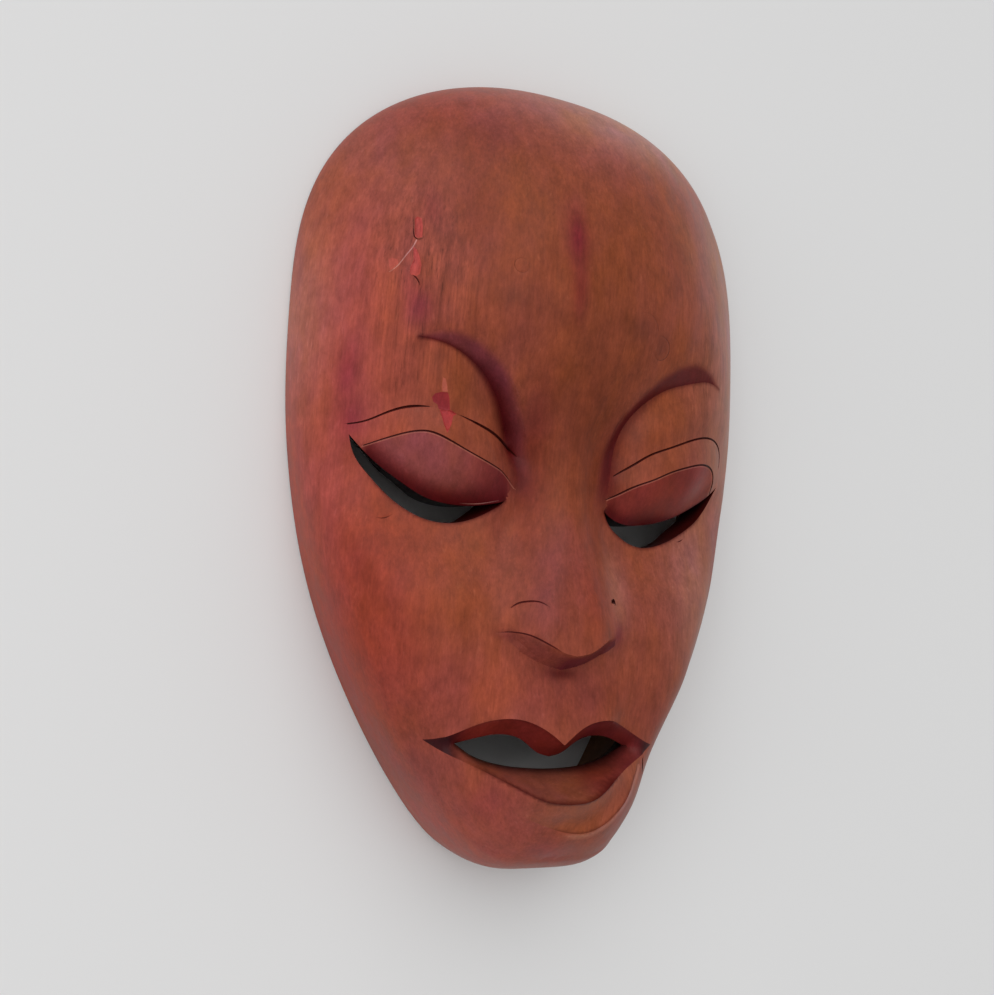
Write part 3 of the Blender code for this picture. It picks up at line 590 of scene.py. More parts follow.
def in_box(low, high, gap, x, y):
    return between(x, low[0] - gap, high[0] + gap) & between(y, low[1] - gap, high[1] + gap)


def near_cuts(x, y):
    """For each knife line, which points are near it, their distance and side, and its depth."""
    for line in CUT_LINES:
        here = in_box(*line.box, CUT_REACH, x, y)
        away, side, value = line.near(x[here], y[here])
        yield here, away, side, value("depth")


def cut_depth(x, y):
    depth = np.zeros_like(x)
    for here, away, _, deepest in near_cuts(x, y):
        groove = deepest * np.maximum(1 - away / cut_width(deepest), 0)
        depth[here] = np.maximum(depth[here], groove)
    return depth


def closed(outline, step):
    """A straight-sided loop with points a step apart."""
    outline = np.array(outline, float)
    loop = []
    for start, end in zip(outline, np.roll(outline, -1, 0)):
        count = max(1, round(np.hypot(*(end - start)) / step))
        loop += [start + (end - start) * i / count for i in range(count)]
    return np.array(loop)


FINE_CHIPS = [closed(outline, CHIP_RIM_STEP) for _, _, outline in CHIPS]


def chip_depth(x, y):
    depth = np.zeros_like(x)
    for (_, deepest, _), loop in zip(CHIPS, FINE_CHIPS):
        here = in_box(loop.min(0), loop.max(0), 0, x, y)
        here[here] = inside_loop(loop, x[here], y[here])
        away = np.hypot(x[here][:, None] - loop[:, 0], y[here][:, None] - loop[:, 1])
        depth[here] = deepest * smooth(away.min(1, initial=FAR) / CHIP_EDGE)
    return depth


def waves(x, y):
    """A smooth random surface between about -1 and 1."""
    random = np.random.default_rng(UNEVEN["seed"])
    total = np.zeros_like(x)
    for length in UNEVEN["lengths"]:
        turn, phase = random.uniform(0, 2 * math.pi, 2)
        total += np.sin((x * np.cos(turn) + y * np.sin(turn)) * 2 * math.pi / length + phase)
    return total / math.sqrt(len(UNEVEN["lengths"]))


# ---- triangulation
def hex_grid(step):
    """Points a step apart in staggered rows, over more than the whole mask."""
    across, along = GRID_REACH
    rows = np.arange(-along, along, step * math.sqrt(3) / 2)
    x, y = np.meshgrid(np.arange(-across, across, step), rows)
    x = x + (np.arange(len(rows)) % 2)[:, None] * step / 2
    return np.c_[x.ravel(), y.ravel()]


def distance_to(points, fixed):
    """Distance from each point to the nearest fixed one."""
    tree = KDTree(len(fixed))
    for i, (x, y) in enumerate(fixed):
        tree.insert((x, y, 0), i)
    tree.balance()
    return np.array([tree.find((x, y, 0))[2] for x, y in points])


def in_loop(loop, points):
    """Whether points lie inside a loop; only those in its box are looked at closely."""
    near = ((points > loop.min(0)) & (points < loop.max(0))).all(1)
    near[near] = inside_loop(loop, *points[near].T)
    return near


def fill(border, holes, lines, grid):
    """Triangles over the area inside the border and outside the holes."""
    loops = [border, *holes]
    edges = []
    first = 0
    for i, chain in enumerate(loops + lines):
        count = len(chain)
        ends = [(first + j, first + (j + 1) % count) for j in range(count)]
        edges += ends if i < len(loops) else ends[:-1]
        first += count
    for hole in holes:
        grid = grid[~in_loop(hole, grid)]
    points = np.vstack(loops + lines + [grid])
    corners, _, faces, *_ = delaunay_2d_cdt([Vector(p) for p in points], edges, [], 0, FLAT_WELD)
    corners = np.array([(c.x, c.y) for c in corners])
    faces = np.array(faces)
    centres = corners[faces].mean(1)
    inside = in_loop(border, centres)
    for hole in holes:
        inside &= ~in_loop(hole, centres)
    return corners, faces[inside]


def strip(lower, upper):
    """Triangles between two closed loops of equally many points."""
    count = len(lower)
    i = np.arange(count)
    j = (i + 1) % count
    faces = np.vstack([np.c_[i, j, count + j], np.c_[i, count + j, count + i]])
    return np.vstack([lower, upper]), faces


def strips(kind, rings, flip=False):
    for pair in zip(rings, rings[1:]):
        yield kind, *strip(*pair[::-1] if flip else pair)


def with_height(plan, height):
    return np.c_[plan, height(*plan.T.copy())]


def sand(points, faces, worn, rounds):
    """Smooths the heights by each point's share "worn", 0 if it is held.

    Each round moves a point towards the cotangent-weighted mean of its neighbours, so an
    even slope stays as it is.
    """
    plan = points[:, :2]
    start, end, weight = [], [], []
    for a, b, c in (faces.T, faces.T[[1, 2, 0]], faces.T[[2, 0, 1]]):
        first, second = plan[a] - plan[c], plan[b] - plan[c]
        cross = np.abs(first[:, 0] * second[:, 1] - first[:, 1] * second[:, 0])
        cotangent = (first * second).sum(1) / np.maximum(cross, 1e-9)
        start += [a, b]
        end += [b, a]
        weight += [cotangent, cotangent]
    start, end = np.concatenate(start), np.concatenate(end)
    weight = np.clip(np.concatenate(weight), *SAND_WEIGHTS)
    total = np.bincount(start, weight, len(points))
    z = points[:, 2].copy()
    for _ in range(rounds):
        mean = np.bincount(start, weight * z[end], len(points)) / np.maximum(total, 1e-9)
        z += SAND_STEP * worn * (mean - z)
    return np.c_[plan, z]


# ---- the shell
def of_both_eyes(name, lowest=-math.inf):
    """One carved line of each eye, down to its lowest y."""
    for side, lines in EYE_LINES.items():
        points = lines[name].sampled()
        yield points[points[:, 1] > lowest] * (side, 1)


def of_both_sides(lines, outer=False):
    """Both halves of each line up to its limit in x, or the rest of them."""
    for side in (-1, 1):
        for line, limit in lines:
            points = line.sampled()
            yield points[(points[:, 0] < limit) != outer] * (side, 1)


def guide_lines():
    """The crisp lines, held when the face is sanded, and soft lines where a stain ends."""
    lips = [(LIP_LINES[name], CRISP_LIPS) for name in ("upper", "lower")]
    tip, base = (NOSE_TIP_LINE, CRISP_NOSE_TIP), (NOSE_BASE_LINE, CRISP_NOSE_BASE)
    fold = CHIN_FOLD_LINE.sampled()
    fold = fold[between(fold[:, 0], *CRISP_FOLD)]
    crisp = [*of_both_eyes("brow_crease", CRISP_CREASE), *of_both_eyes("lower_line", CRISP_LID),
             fold, *of_both_sides([*lips, tip, base])]
    lids = [line[line[:, 1] <= CRISP_LID] for line in of_both_eyes("lower_line")]
    soft = [*of_both_eyes("brow_top", CRISP_BROW), *lids, *of_both_sides([*lips, base], True)]
    return crisp, [line for line in soft if len(line) > 1]


def beside(line, gap):
    """A polyline moved to its left by a gap for each point."""
    along = np.gradient(line, axis=0)
    along /= np.hypot(*along.T)[:, None]
    return line + np.c_[-along[:, 1], along[:, 0]] * gap[:, None]


def cut_lines():
    """The bottom and both edges of each knife line, and the end of its painted highlight."""
    lines = []
    for (_, light, _, _), line in zip(CUTS, CUT_LINES):
        middle = line.sampled()
        width = cut_width(line.sampled("depth"))
        lines += [beside(middle, gap) for gap in (-width, 0 * width, width)]
        if light:
            lines.append(beside(middle, light * (width + LIGHT_EDGE)))
    return lines


def relief(x, y):
    """What the fine surface adds to the part's."""
    kept = 1 - ramp(share_of_outline(x, y), *UNEVEN["fade"])
    return UNEVEN["height"] * waves(x, y) * kept - cut_depth(x, y) - chip_depth(x, y)


def surface(x, y):
    return face_height(x, y) + relief(x, y)


def gouged(x, y):
    """The hollow's ceiling, scalloped where a gouge took it out."""
    random = np.random.default_rng(GOUGE["seed"])
    (across, along), size, shift = GOUGE["span"], GOUGE["size"], GOUGE["shift"]
    columns, rows = np.meshgrid(np.arange(-across, across, size[0]), np.arange(-along, along, size[1]))
    seeds = np.c_[columns.ravel(), rows.ravel()]
    seeds += random.uniform(-shift, shift, seeds.shape) * size
    plan = np.c_[x, y]
    near = distance_to(plan / size, seeds / size)
    kept = 1 - ramp(share_of_outline(*(plan / HOLLOW_SCALE).T), *GOUGE["fade"])
    return hollow_height(x, y) - GOUGE["depth"] * np.minimum(near / GOUGE["reach"], 1)**2 * kept


def front():
    """The carved face inside the cap edge, as (points, triangles)."""
    border = outline_ring(CAP_EDGE)
    crisp, soft = guide_lines()
    chips = [closed(outline, CHIP_STEP) for _, _, outline in CHIPS]
    lines = crisp + soft + cut_lines() + [np.vstack([loop, loop[:1]]) for loop in chips]
    fine, plain = hex_grid(FACE_STEP), hex_grid(PLAIN_STEP)
    grid = np.vstack([fine[fine[:, 1] < FINE_BELOW], plain[plain[:, 1] > FINE_BELOW]])
    grid = grid[share_of_outline(*grid.T) < CAP_EDGE - FRONT_CLEAR]
    fixed = np.vstack([border, *OPENINGS, *lines])
    grid = grid[distance_to(grid, fixed) > LINE_STEP * LINE_CLEAR]
    tiny = hex_grid(CHIP_STEP)
    tiny = np.vstack([tiny[in_loop(loop, tiny)] for loop in chips])
    tiny = tiny[distance_to(tiny, fixed) > CHIP_STEP * EDGE_CLEAR]
    plan, faces = fill(border, OPENINGS, lines, np.vstack([grid, tiny]))
    points = with_height(plan, face_height)
    edge = distance_to(plan, np.vstack([border, *OPENINGS])) < ON_LINE
    held = edge | (distance_to(plan, np.vstack(crisp)) < ON_LINE)
    points = sand(points, faces, ~held, SAND_ROUNDS)
    corners = sum(blob(*plan.T, *corner) for corner in INNER_CORNERS)
    points = sand(points, faces, ~edge * np.minimum(corners * CORNER_WORN, 1), CORNER_ROUNDS)
    points[:, 2] += relief(*plan.T)
    return points, faces


def rings(ring, height, count):
    """Rings from the cap edge down to level 0, a level step apart on a round shoulder."""
    level = np.linspace((1 - CAP_EDGE**3)**(1 / 3), 0, count + 1)
    steps = [with_height(ring(share), height) for share in (1 - level[:-1]**3)**(1 / 3)]
    return [*steps, np.c_[ring(1), np.zeros(RIM_POINTS)]]


def shell_pieces():
    """Every stretch of the mask's skin, as (kind, points, triangles)."""
    yield FACE, *front()

    outer = rings(outline_ring, surface, SIDE_RINGS)
    inner = rings(hollow_ring, gouged, INNER_RINGS)
    yield from strips(FACE, outer, flip=True)
    yield RIM, *strip(inner[-1], outer[-1])
    yield from strips(HOLLOW, inner)

    border = hollow_ring(CAP_EDGE)
    grid = hex_grid(HOLLOW_STEP)
    grid = grid[share_of_outline(*(grid / HOLLOW_SCALE).T) < CAP_EDGE - BACK_CLEAR]
    grid = grid[distance_to(grid, np.vstack([border, *BACKS])) > HOLLOW_STEP * EDGE_CLEAR]
    plan, faces = fill(border, BACKS, [], grid)
    yield HOLLOW, with_height(plan, gouged), faces[:, ::-1]

    for loop, back in zip(OPENINGS, BACKS):
        top, bottom = with_height(loop, surface), with_height(back, gouged)
        depths = np.linspace(0, 1, WALL_RINGS + 1)
        yield from strips(WALL, [top + (bottom - top) * t for t in depths])


def build_mesh(name, pieces):
    """One closed mesh: the pieces share their edge points, which are welded."""
    bm = bmesh.new()
    kind_of = bm.faces.layers.int.new("kind")
    for kind, points, faces in pieces:
        corners = [bm.verts.new(p * MM) for p in points]
        for face in faces:
            bm.faces.new([corners[i] for i in face])[kind_of] = kind
    bmesh.ops.remove_doubles(bm, verts=bm.verts, dist=WELD * MM)
    bmesh.ops.recalc_face_normals(bm, faces=bm.faces)
    mesh = bpy.data.meshes.new(name)
    bm.to_mesh(mesh)
    bm.free()
    mesh.shade_smooth()
    mesh.set_sharp_from_angle(angle=CRISP_ANGLE)
    return mesh


# ---- the stain
def linear(*srgb):
    """A colour from 0-255 values, as the shader takes it."""
    share = np.array(srgb) / 255
    return np.where(share > 0.04045, ((share + 0.055) / 1.055)**2.4, share / 12.92)


STAINS = {name: linear(*srgb) for name, srgb in {
    "wood": (143, 70, 51), "pink": (166, 76, 63), "worn": (154, 74, 44), "brown": (134, 66, 38),
    "deep_brown": (112, 50, 30), "sheen_and_pale_tone": (200, 160, 146), "grey_brown": (136, 82, 70),
    "russet": (148, 54, 37), "maroon": (138, 50, 42), "dark_maroon": (108, 38, 34),
    "purple": (118, 36, 52), "mauve": (128, 60, 54), "rose": (144, 54, 58),
    "pink_purple": (138, 54, 64), "plum": (92, 28, 38), "magenta": (118, 33, 41),
    "brow": (112, 46, 50), "brow_right": (94, 28, 28), "crease": (80, 12, 14),
    "lid": (124, 46, 44), "lid_highlight": (148, 76, 72), "lid_right": (124, 46, 38),
    "lid_edge": (76, 5, 9), "lip": (114, 34, 28), "lower_lip": (128, 66, 50),
    "underside": (132, 62, 50), "scoop": (148, 76, 50), "knot": (104, 52, 38),
    "ring": (98, 46, 32), "rub": (142, 78, 76), "coral": (184, 76, 68),
    "pale_coral": (174, 80, 66), "red": (144, 46, 46), "red_wood": (166, 56, 52),
    "pale_red": (168, 84, 66), "scratch_and_highlight": (206, 144, 130), "pale": (178, 108, 88),
    "nick": (72, 16, 14), "cut": (56, 10, 8), "wall": (18, 5, 6), "corner": (50, 15, 18),
    "hollow": (124, 86, 66),
}.items()}

# Broad stains, worn places, drips, blots, painted sheen and a painted shadow in the order they
# are laid: a stain, and its spots as (x and y of the middle, reach across and along, share).
SPOTS = [
    ("pink", [(-64, 20, 18, 90, 0.9)]),
    ("russet", [(-52, -60, 16, 46, 0.8)]),
    ("mauve", [(-40, -94, 14, 16, 0.5)]),
    ("pink", [(-18, -104, 22, 14, 0.5)]),
    ("grey_brown", [(-64, 92, 26, 34, 0.4)]),
    ("maroon", [(-20, 104, 44, 12, 0.7)]),
    ("worn", [(-44, 12, 14, 34, 0.4), (-34, -40, 18, 22, 0.3), (30, 50, 20, 34, 0.3)]),
    ("brown", [(8, 30, 24, 36, 0.9), (12, 66, 30, 26, 0.5), (-22, 84, 16, 20, 0.4),
               (44, 20, 16, 18, 0.6), (-35, 17, 10, 11, 0.6), (42, -36, 18, 28, 0.3)]),
    ("deep_brown", [(4, 14, 11, 20, 0.75)]),
    ("dark_maroon", [(4, -64, 22, 8, 0.35)]),
    ("mauve", [(-6.5, -32, 8, 15, 0.75)]),
    ("maroon", [(8, -34, 6, 14, 0.4), (-55, -29, 8, 12, 0.4)]),
    ("pink", [(-24, -63, 16, 10, 0.5)]),
    ("dark_maroon", [(-34, 70, 7, 16, 0.3), (-30, 92, 9, 8, 0.3), (-11.5, 7, 5, 17, 0.75),
                     (14, 2, 5, 16, 0.45), (-12, -6, 5, 7, 0.7), (16, -4, 3.5, 6, 0.7)]),
    # painted sheen down the right edge, over the crown's right side, on the right cheek and beside the
    # nose's right wing; the spot on the left temple only lightens the tone
    ("sheen_and_pale_tone", [(34, 112, 50, 14, 0.45), (76, 46, 20, 58, 0.58), (54, 80, 15, 26, 0.18),
               (-77, 36, 8, 28, 0.2), (52, -34, 12, 26, 0.2), (18, -34, 5, 12, 0.14)]),
    ("magenta", [(-5.6, 65, 3.2, 9, 1), (-4.4, 50, 2.4, 8, 0.6)]),
    ("pink_purple", [(-48.2, 39.6, 3.2, 5.6, 1), (-51, 46, 2, 5, 0.4)]),
    ("purple", [(-46, 68, 3, 6, 0.3)]),
    ("rose", [(-63.6, 20, 2.6, 9, 0.9), (-61.5, 7, 3.2, 6, 0.9)]),
    ("pink_purple", [(2, -108, 9, 4.6, 0.5), (-20, -94, 5, 6, 0.4)]),
    ("plum", [(-17.6, -47.6, 3.4, 1.3, 0.5)]),
    ("purple", [(18, -46, 2.2, 3.4, 0.6)]),
    # painted shadow under the nose tip
    ("lid_edge", [(0, -57.4, 5.5, 1.7, 0.8)]),
    ("knot", [(18.5, 43, 5.4, 4.6, 0.55), (26, 38.5, 2, 3.4, 0.35), (-24, 45, 5, 3, 0.3)]),
]
# Where the grain shows most, as for the stains.
GRAINY = [(-46, 44, 17, 34, 1), (50, 40, 12, 26, 0.7), (0, 84, 40, 20, 0.35)]
GRAIN_ELSEWHERE = 0.28
GRAIN_COVERED = 0.7  # share of the grain hidden by the thick stain on brows, lids and lips
FAR = 99.0  # stands for a distance that isn't measured
# Distances are measured past this x and between these y for an eye, between these y for the
# lips and below this y for the chin's fold.
NEAR_EYE, NEAR_LIPS, BELOW_LIPS = (5, -35, 55), (-96, -68), -70
UNDERSIDE_HALF = 17  # half-width of the stained underside of the nose
SCOOP_SPAN, FOLD_EDGE_SPAN = (-14, 30), (2, 30)  # where they end in x
CUT_FULL = 0.12  # a cut this deep is fully stained
CUT_STAIN, CUT_INNER = 0.95, 0.98  # by this share, over this share of its width


def paint(colour, *coats):
    """Lays stains over a colour, each by a share from 0 to 1."""
    for stain, share in coats:
        colour += (STAINS[stain] - colour) * np.clip(share, 0, 1)[:, None]


def close(away, reach):
    """1 on a line, fading over the reach to either side."""
    return np.exp(-(away / reach)**2)


def stain_face(x, y, away, inside):
    """The face's colour, from distances to the carved lines and the cuts a point is in."""
    colour = np.tile(STAINS["wood"], (len(x), 1))
    for stain, spots in SPOTS:
        for *place, share in spots:
            paint(colour, (stain, share * blob(x, y, *place)))

    u, left = np.abs(x), x < 0
    brow_end = ramp(y, -12, 2)
    below_top = away["brow_top"] * np.where(inside["brow"] > 0, 1, -1)
    band = ramp(below_top, -1, 1.8) * (away["brow_crease"] < 12)
    band = 0.95 * brow_end * np.where(inside["under_brow"] > 0, 0, band)
    crease = close(away["brow_crease"], 0.6 + 1.7 * ramp(u, 36, 22))

    lid = inside["lid"] * ramp(u, 58.5, 56) * ramp(u, 14.5, 18)
    # painted highlight on the lids, towards the outer part of each and away from the lower edge
    pale = np.where(left, ramp(x, -22, -36), 0.7 * ramp(x, 42, 52))
    red = np.where(left, 2 + 3.6 * ramp(x, -52, -26), 3.6 * ramp(x, 46, 32))
    underside = inside["underside"] * smooth((NOSE_TIP_LINE.y_at(u) - y) / 1.4)

    # painted highlight just outside the chin's fold, and a line of painted shade just inside it
    rim = inside["fold_edge"] * close(away["fold"] - 0.9, 0.9) * ramp(x, 2, 8)
    groove = inside["scoop"] * close(away["fold"], 0.45) * ramp(x, -2, 2) * ramp(x, 31, 28)
    upper, lower = inside["upper_lip"], inside["lower_lip"]
    paint(
        colour,
        ("brow", band * left),
        ("brow_right", band * ~left),
        ("crease", np.where(left, 0.95, 0.6) * crease * brow_end),
        ("lid", 0.95 * lid * left),
        ("lid_right", 0.95 * lid * ~left),
        ("lid_highlight", 0.75 * lid * pale * ramp(away["lid_edge"], 1.5, 5.5)),
        ("lid_edge", lid * close(away["lid_edge"], np.maximum(red, 0.4))),
        ("nick", 0.8 * close(away["cheek_edge"], 0.5) * ramp(u, 57, 53)),
        ("underside", 0.7 * underside * (x < -2)),
        ("plum", 0.8 * underside * ramp(x, -4, 0)),
        ("scoop", 0.9 * inside["scoop"] * ramp(x, -15, -3)),
        # painted highlight outside the chin's fold, painted shade inside it
        ("pale", 0.8 * rim),
        ("nick", 0.6 * groove),
        ("lip", 0.95 * upper),
        ("plum", 0.45 * upper * ramp(x, 5, 13)),
        ("lower_lip", 0.95 * lower),
        ("wood", 0.85 * lower * ramp(x, -4, -18)),
        ("lip", 0.65 * lower * ramp(x, 4, 14)),
        ("plum", 0.5 * lower * ramp(x, 18, 26)),
        # painted shade in the mouth's corners
        ("corner", 0.97 * (upper + lower) * np.where(left, ramp(u, 25, 30), ramp(u, 28, 33))),
        # a line of painted shade along the lower edge of the mouth's opening
        ("wall", 0.85 * lower * close(away["opening_low"], 0.9)),
        ("nick", 0.5 * upper * close(away["upper"], 0.4)),
        ("nick", 0.85 * close(away["lower"], 0.35) * ramp(x, 22, 16) * ramp(x, -30, -14)),
    )
    for i, (stain, *_) in enumerate(CHIPS):
        paint(colour, (stain, inside["chip", i]))
    for i, (stain, *_) in enumerate(CUTS):
        # a painted highlight beside a cut on its marked side, then the cut's own stain
        paint(colour, ("pale", 0.45 * inside["light", i]), (stain, inside["cut", i]))
    return colour


def near_eye(x, y, side):
    inner, low, high = NEAR_EYE
    return (x * side > inner) & between(y, low, high)


def distances(x, y):
    """Distance from each point to the carved lines, where they are near."""
    away = {}

    def measure(name, line, here, across):
        found = away.setdefault(name, np.full(len(x), FAR))
        found[here] = line.near(across[here], y[here])[0]

    for side, lines in EYE_LINES.items():
        for name, line in lines.items():
            measure(name, line, near_eye(x, y, side), x * side)
    for name in ("upper", "lower", "opening_low"):
        measure(name, LIP_LINES[name], between(y, *NEAR_LIPS), np.abs(x))
    measure("fold", CHIN_FOLD_LINE, y < BELOW_LIPS, x)
    return away


def which_cut(x, y):
    """How far each point belongs to each bevel, lid, lip, chip and knife line."""
    inside = {}

    def mark(name, found, here=slice(None)):
        inside.setdefault(name, np.zeros(len(x)))[here] = found

    u = np.abs(x)
    for side, lines in EYE_LINES.items():
        here = near_eye(x, y, side)
        place = u[here], y[here]
        mark("brow", within(lines["brow_crease"], lines["brow_top"], *place), here)
        mark("lid", within(lines["lid_edge"], lines["lower_line"], *place), here)
        mark("under_brow", lines["brow_crease"].near(*place)[1] > 0, here)
    underside = between(y, NOSE_BASE_LINE.y_at(u), NOSE_TIP_LINE.y_at(u))
    mark("underside", (u < UNDERSIDE_HALF) & underside)
    lips, above = in_mouth(u, y)
    mark("upper_lip", lips & above)
    mark("lower_lip", lips & ~above)
    below = (y < LIP_LINES["lower"].y_at(u)) & (y < CORNER_Y)
    _, side, _ = CHIN_FOLD_LINE.near(x, y)
    mark("scoop", below & (side > 0) & between(x, *SCOOP_SPAN))
    mark("fold_edge", below & (side < 0) & between(x, *FOLD_EDGE_SPAN))
    for i, loop in enumerate(FINE_CHIPS):
        mark(("chip", i), in_loop(loop, np.c_[x, y]))
    for i, (here, away, side, depth) in enumerate(near_cuts(x, y)):
        width = cut_width(depth)
        mark(("cut", i), CUT_STAIN * smooth(depth / CUT_FULL) * (away < width * CUT_INNER), here)
        mark(("light", i), (away < width + LIGHT_EDGE) & (side * CUTS[i][1] > 0), here)
    return inside


def read(items, name, kind=float, size=1):
    values = np.empty(len(items) * size, kind)
    items.foreach_get(name, values)
    return values


def stain_mesh(mesh):
    """Stains every face corner, so that a colour ends exactly where its cut does."""
    points = read(mesh.vertices, "co", size=3).reshape(-1, 3) / MM
    corner = read(mesh.loops, "vertex_index", int)
    kind = np.repeat(read(mesh.attributes["kind"].data, "value", int), 3)
    centres = points[corner].reshape(-1, 3, 3).mean(1)
    x, y = points[:, 0], points[:, 1]
    away = {name: found[corner] for name, found in distances(x, y).items()}
    inside = {name: np.repeat(found, 3) for name, found in which_cut(*centres[:, :2].T).items()}
    colour = stain_face(x[corner], y[corner], away, inside)
    # the openings' walls are painted near black: their dark wood, with painted shade added
    wall = kind == WALL
    colour[wall] = STAINS["wall"]
    edge = np.minimum(away["cheek_edge"], away["opening_low"])
    paint(colour, ("nick", 0.9 * wall * close(edge, 0.6)))
    colour[(kind == HOLLOW) | (kind == RIM)] = STAINS["hollow"]
    spots = [share * blob(x, y, *place) for *place, share in GRAINY]
    covered = sum(inside[name] for name in ("lid", "brow", "upper_lip", "lower_lip"))
    grain = np.maximum(GRAIN_ELSEWHERE, np.max(spots, 0))[corner] * (1 - GRAIN_COVERED * covered)
    stain = mesh.attributes.new("stain", "FLOAT_COLOR", "CORNER")
    stain.data.foreach_set("color", np.c_[colour, grain].ravel())


# ---- materials
class Nodes:
    """A material, with nodes whose inputs are set or linked by name."""

    def __init__(self, name):
        self.material = bpy.data.materials.new(name)
        self.material.use_nodes = True
        self.tree = self.material.node_tree
        self.shader = self.tree.nodes["Principled BSDF"]

    def set(self, node, **inputs):
        for name, value in inputs.items():
            self.fill(node.inputs[name.replace("_", " ")], value)
        return node

    def fill(self, socket, value):
        if isinstance(value, bpy.types.NodeSocket):
            self.tree.links.new(value, socket)
        else:
            socket.default_value = value

    def add(self, kind, **inputs):
        return self.set(self.tree.nodes.new(kind), **inputs)

    def noise(self, scale, stretch, detail=2.0, roughness=0.5):
        """Noise in the object's own space, squeezed by "stretch" along each axis."""
        place = self.add("ShaderNodeTexCoord").outputs["Object"]
        place = self.add("ShaderNodeMapping", Vector=place, Scale=stretch).outputs["Vector"]
        return self.add("ShaderNodeTexNoise", Vector=place, Scale=scale, Detail=detail,
                        Roughness=roughness).outputs["Fac"]

    def span(self, value, low, high, to_low, to_high):
        return self.add("ShaderNodeMapRange", Value=value, From_Min=low, From_Max=high,
                        To_Min=to_low, To_Max=to_high).outputs["Result"]

    def mix(self, factor, first, second, blend="MIX"):
        node = self.tree.nodes.new("ShaderNodeMix")
        node.data_type = "RGBA"
        node.blend_type = blend
        for socket, value in ((0, factor), (6, first), (7, second)):  # those for colours
            self.fill(node.inputs[socket], value)
        return node.outputs[2]

    def tint(self, colour, *share):
        return self.mix(1.0, colour, (*share, 1), "MULTIPLY")

    def shade(self, colour, value, *span):
        grey = self.span(value, *span)
        grey = self.add("ShaderNodeCombineColor", Red=grey, Green=grey, Blue=grey).outputs[0]
        return self.mix(1.0, colour, grey, "MULTIPLY")


def stained_wood():
    """Wood grain along Y; "stain" holds the colour and how strongly the grain shows."""
    wood = Nodes("stained_wood")
    streaks = wood.noise(1200, (1, 0.01, 1), 4, 0.6)
    bands = wood.noise(400, (1, 0.012, 1))
    mottle = wood.noise(220, (1, 0.6, 1), 5, 0.65)
    blotch = wood.noise(60, (1, 0.5, 1), 3, 0.6)
    flecks = wood.noise(800, (1, 0.3, 1), 2, 0.6)
    pits = wood.noise(1500, (1, 0.05, 1), 2, 0.6)
    pores = wood.noise(1300, (1, 0.3, 1), 6, 0.75)

    stain = wood.add("ShaderNodeAttribute")
    stain.attribute_name = "stain"
    colour = stain.outputs["Color"]
    grained = wood.shade(colour, streaks, 0.36, 0.64, 0.76, 1.2)
    grained = wood.shade(grained, bands, 0.36, 0.64, 0.84, 1.12)
    grained = wood.shade(grained, pits, 0.3, 0.38, 0.6, 1.0)
    colour = wood.mix(stain.outputs["Alpha"], colour, grained)
    colour = wood.shade(colour, mottle, 0.36, 0.64, 0.86, 1.13)
    colour = wood.shade(colour, pores, 0.3, 0.7, 0.84, 1.14)
    warm = wood.tint(colour, 1.02, 1.02, 0.84)
    cool = wood.tint(colour, 0.98, 0.98, 1.2)
    colour = wood.mix(wood.span(blotch, 0.35, 0.65, 0, 1), cool, warm)
    dust = wood.tint(colour, 1.15, 1.25, 1.3)
    colour = wood.mix(wood.span(flecks, 0.62, 0.74, 0, 0.8), colour, dust)

    bump = wood.add("ShaderNodeBump", Height=streaks, Strength=0.25, Distance=0.0001)
    wood.set(wood.shader, Base_Color=colour, Normal=bump.outputs["Normal"],
             Roughness=wood.span(mottle, 0.3, 0.7, 0.34, 0.48), Specular_IOR_Level=0.1)
    return wood.material


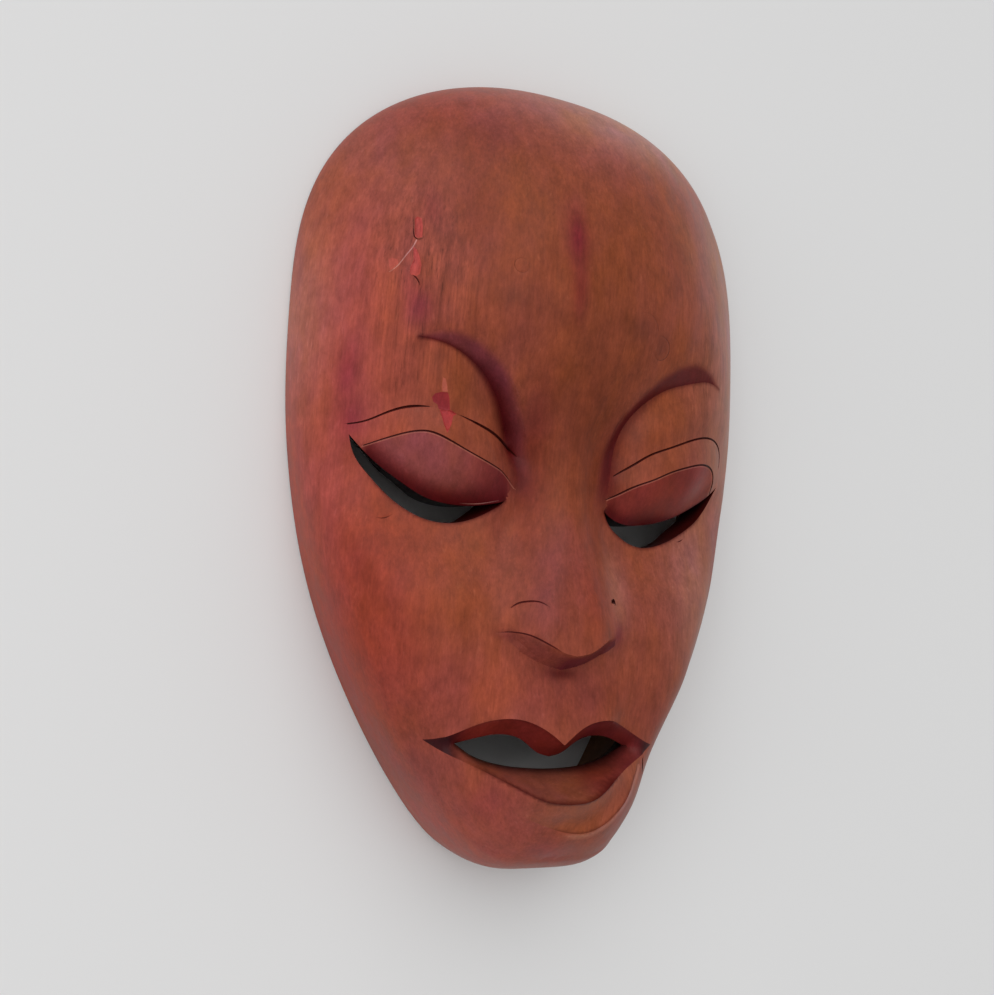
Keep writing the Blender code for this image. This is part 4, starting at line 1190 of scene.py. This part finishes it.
# ---- the scene, in metres
FLOOR = {"half": 3, "z": -0.0004, "colour": (0.8, 0.8, 0.8, 1), "roughness": 0.9}
CAMERA = {"place": (-0.15009, -0.02316, 0.31469), "forward": (0.4214, 0.0423, -0.9059),
          "up": (-0.0998, 0.995, 0), "lens": 39.84, "sensor": 36}
WORLD_LIGHT = 0.5
SKY = {"place": (-0.25, 0.65, 0.7), "energy": 1.24, "angle": math.radians(62)}
WINDOW = {"place": (-1.05, 0, 0.6), "energy": 2.6, "size": 0.9}


def add(name, data):
    thing = bpy.data.objects.new(name, data)
    bpy.context.scene.collection.objects.link(thing)
    return thing


def add_floor():
    half = FLOOR["half"]
    mesh = bpy.data.meshes.new("floor")
    corners = [(-half, -half, 0), (half, -half, 0), (half, half, 0), (-half, half, 0)]
    mesh.from_pydata(corners, [], [(0, 1, 2, 3)])
    floor = add("floor", mesh)
    floor.location.z = FLOOR["z"]
    look = Nodes("floor")
    look.set(look.shader, Base_Color=FLOOR["colour"], Roughness=FLOOR["roughness"])
    mesh.materials.append(look.material)


def add_camera():
    camera = add("camera", bpy.data.cameras.new("camera"))
    camera.data.sensor_fit = "HORIZONTAL"
    camera.data.sensor_width = CAMERA["sensor"]
    camera.data.lens = CAMERA["lens"]
    forward = Vector(CAMERA["forward"]).normalized()
    right = forward.cross(Vector(CAMERA["up"])).normalized()
    turn = Matrix((right, right.cross(forward), -forward)).transposed().to_4x4()
    camera.matrix_world = Matrix.Translation(CAMERA["place"]) @ turn
    bpy.context.scene.camera = camera


def add_light(name, kind, place, **settings):
    data = bpy.data.lights.new(name, kind)
    for setting, value in settings.items():
        setattr(data, setting, value)
    light = add(name, data)
    light.location = place
    light.rotation_euler = Vector(place).to_track_quat("Z", "Y").to_euler()
    return light


def add_lights():
    """A dim pale room, a broad soft light from the crown's side and one from the left."""
    world = bpy.data.worlds.new("studio")
    world.use_nodes = True
    background = world.node_tree.nodes["Background"]
    background.inputs["Color"].default_value = (1, 1, 1, 1)
    background.inputs["Strength"].default_value = WORLD_LIGHT
    bpy.context.scene.world = world
    add_light("sky_light", "SUN", **SKY)
    window = add_light("window_light", "AREA", **WINDOW)
    window.visible_glossy = False  # no bright square mirrored in the wood
    bpy.context.scene.view_settings.view_transform = "Standard"


mask = add("mask", build_mesh("mask", shell_pieces()))
stain_mesh(mask.data)
mask.data.materials.append(stained_wood())
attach(mask, "root")
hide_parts("carved_mask")
add_floor()
add_camera()
add_lights()
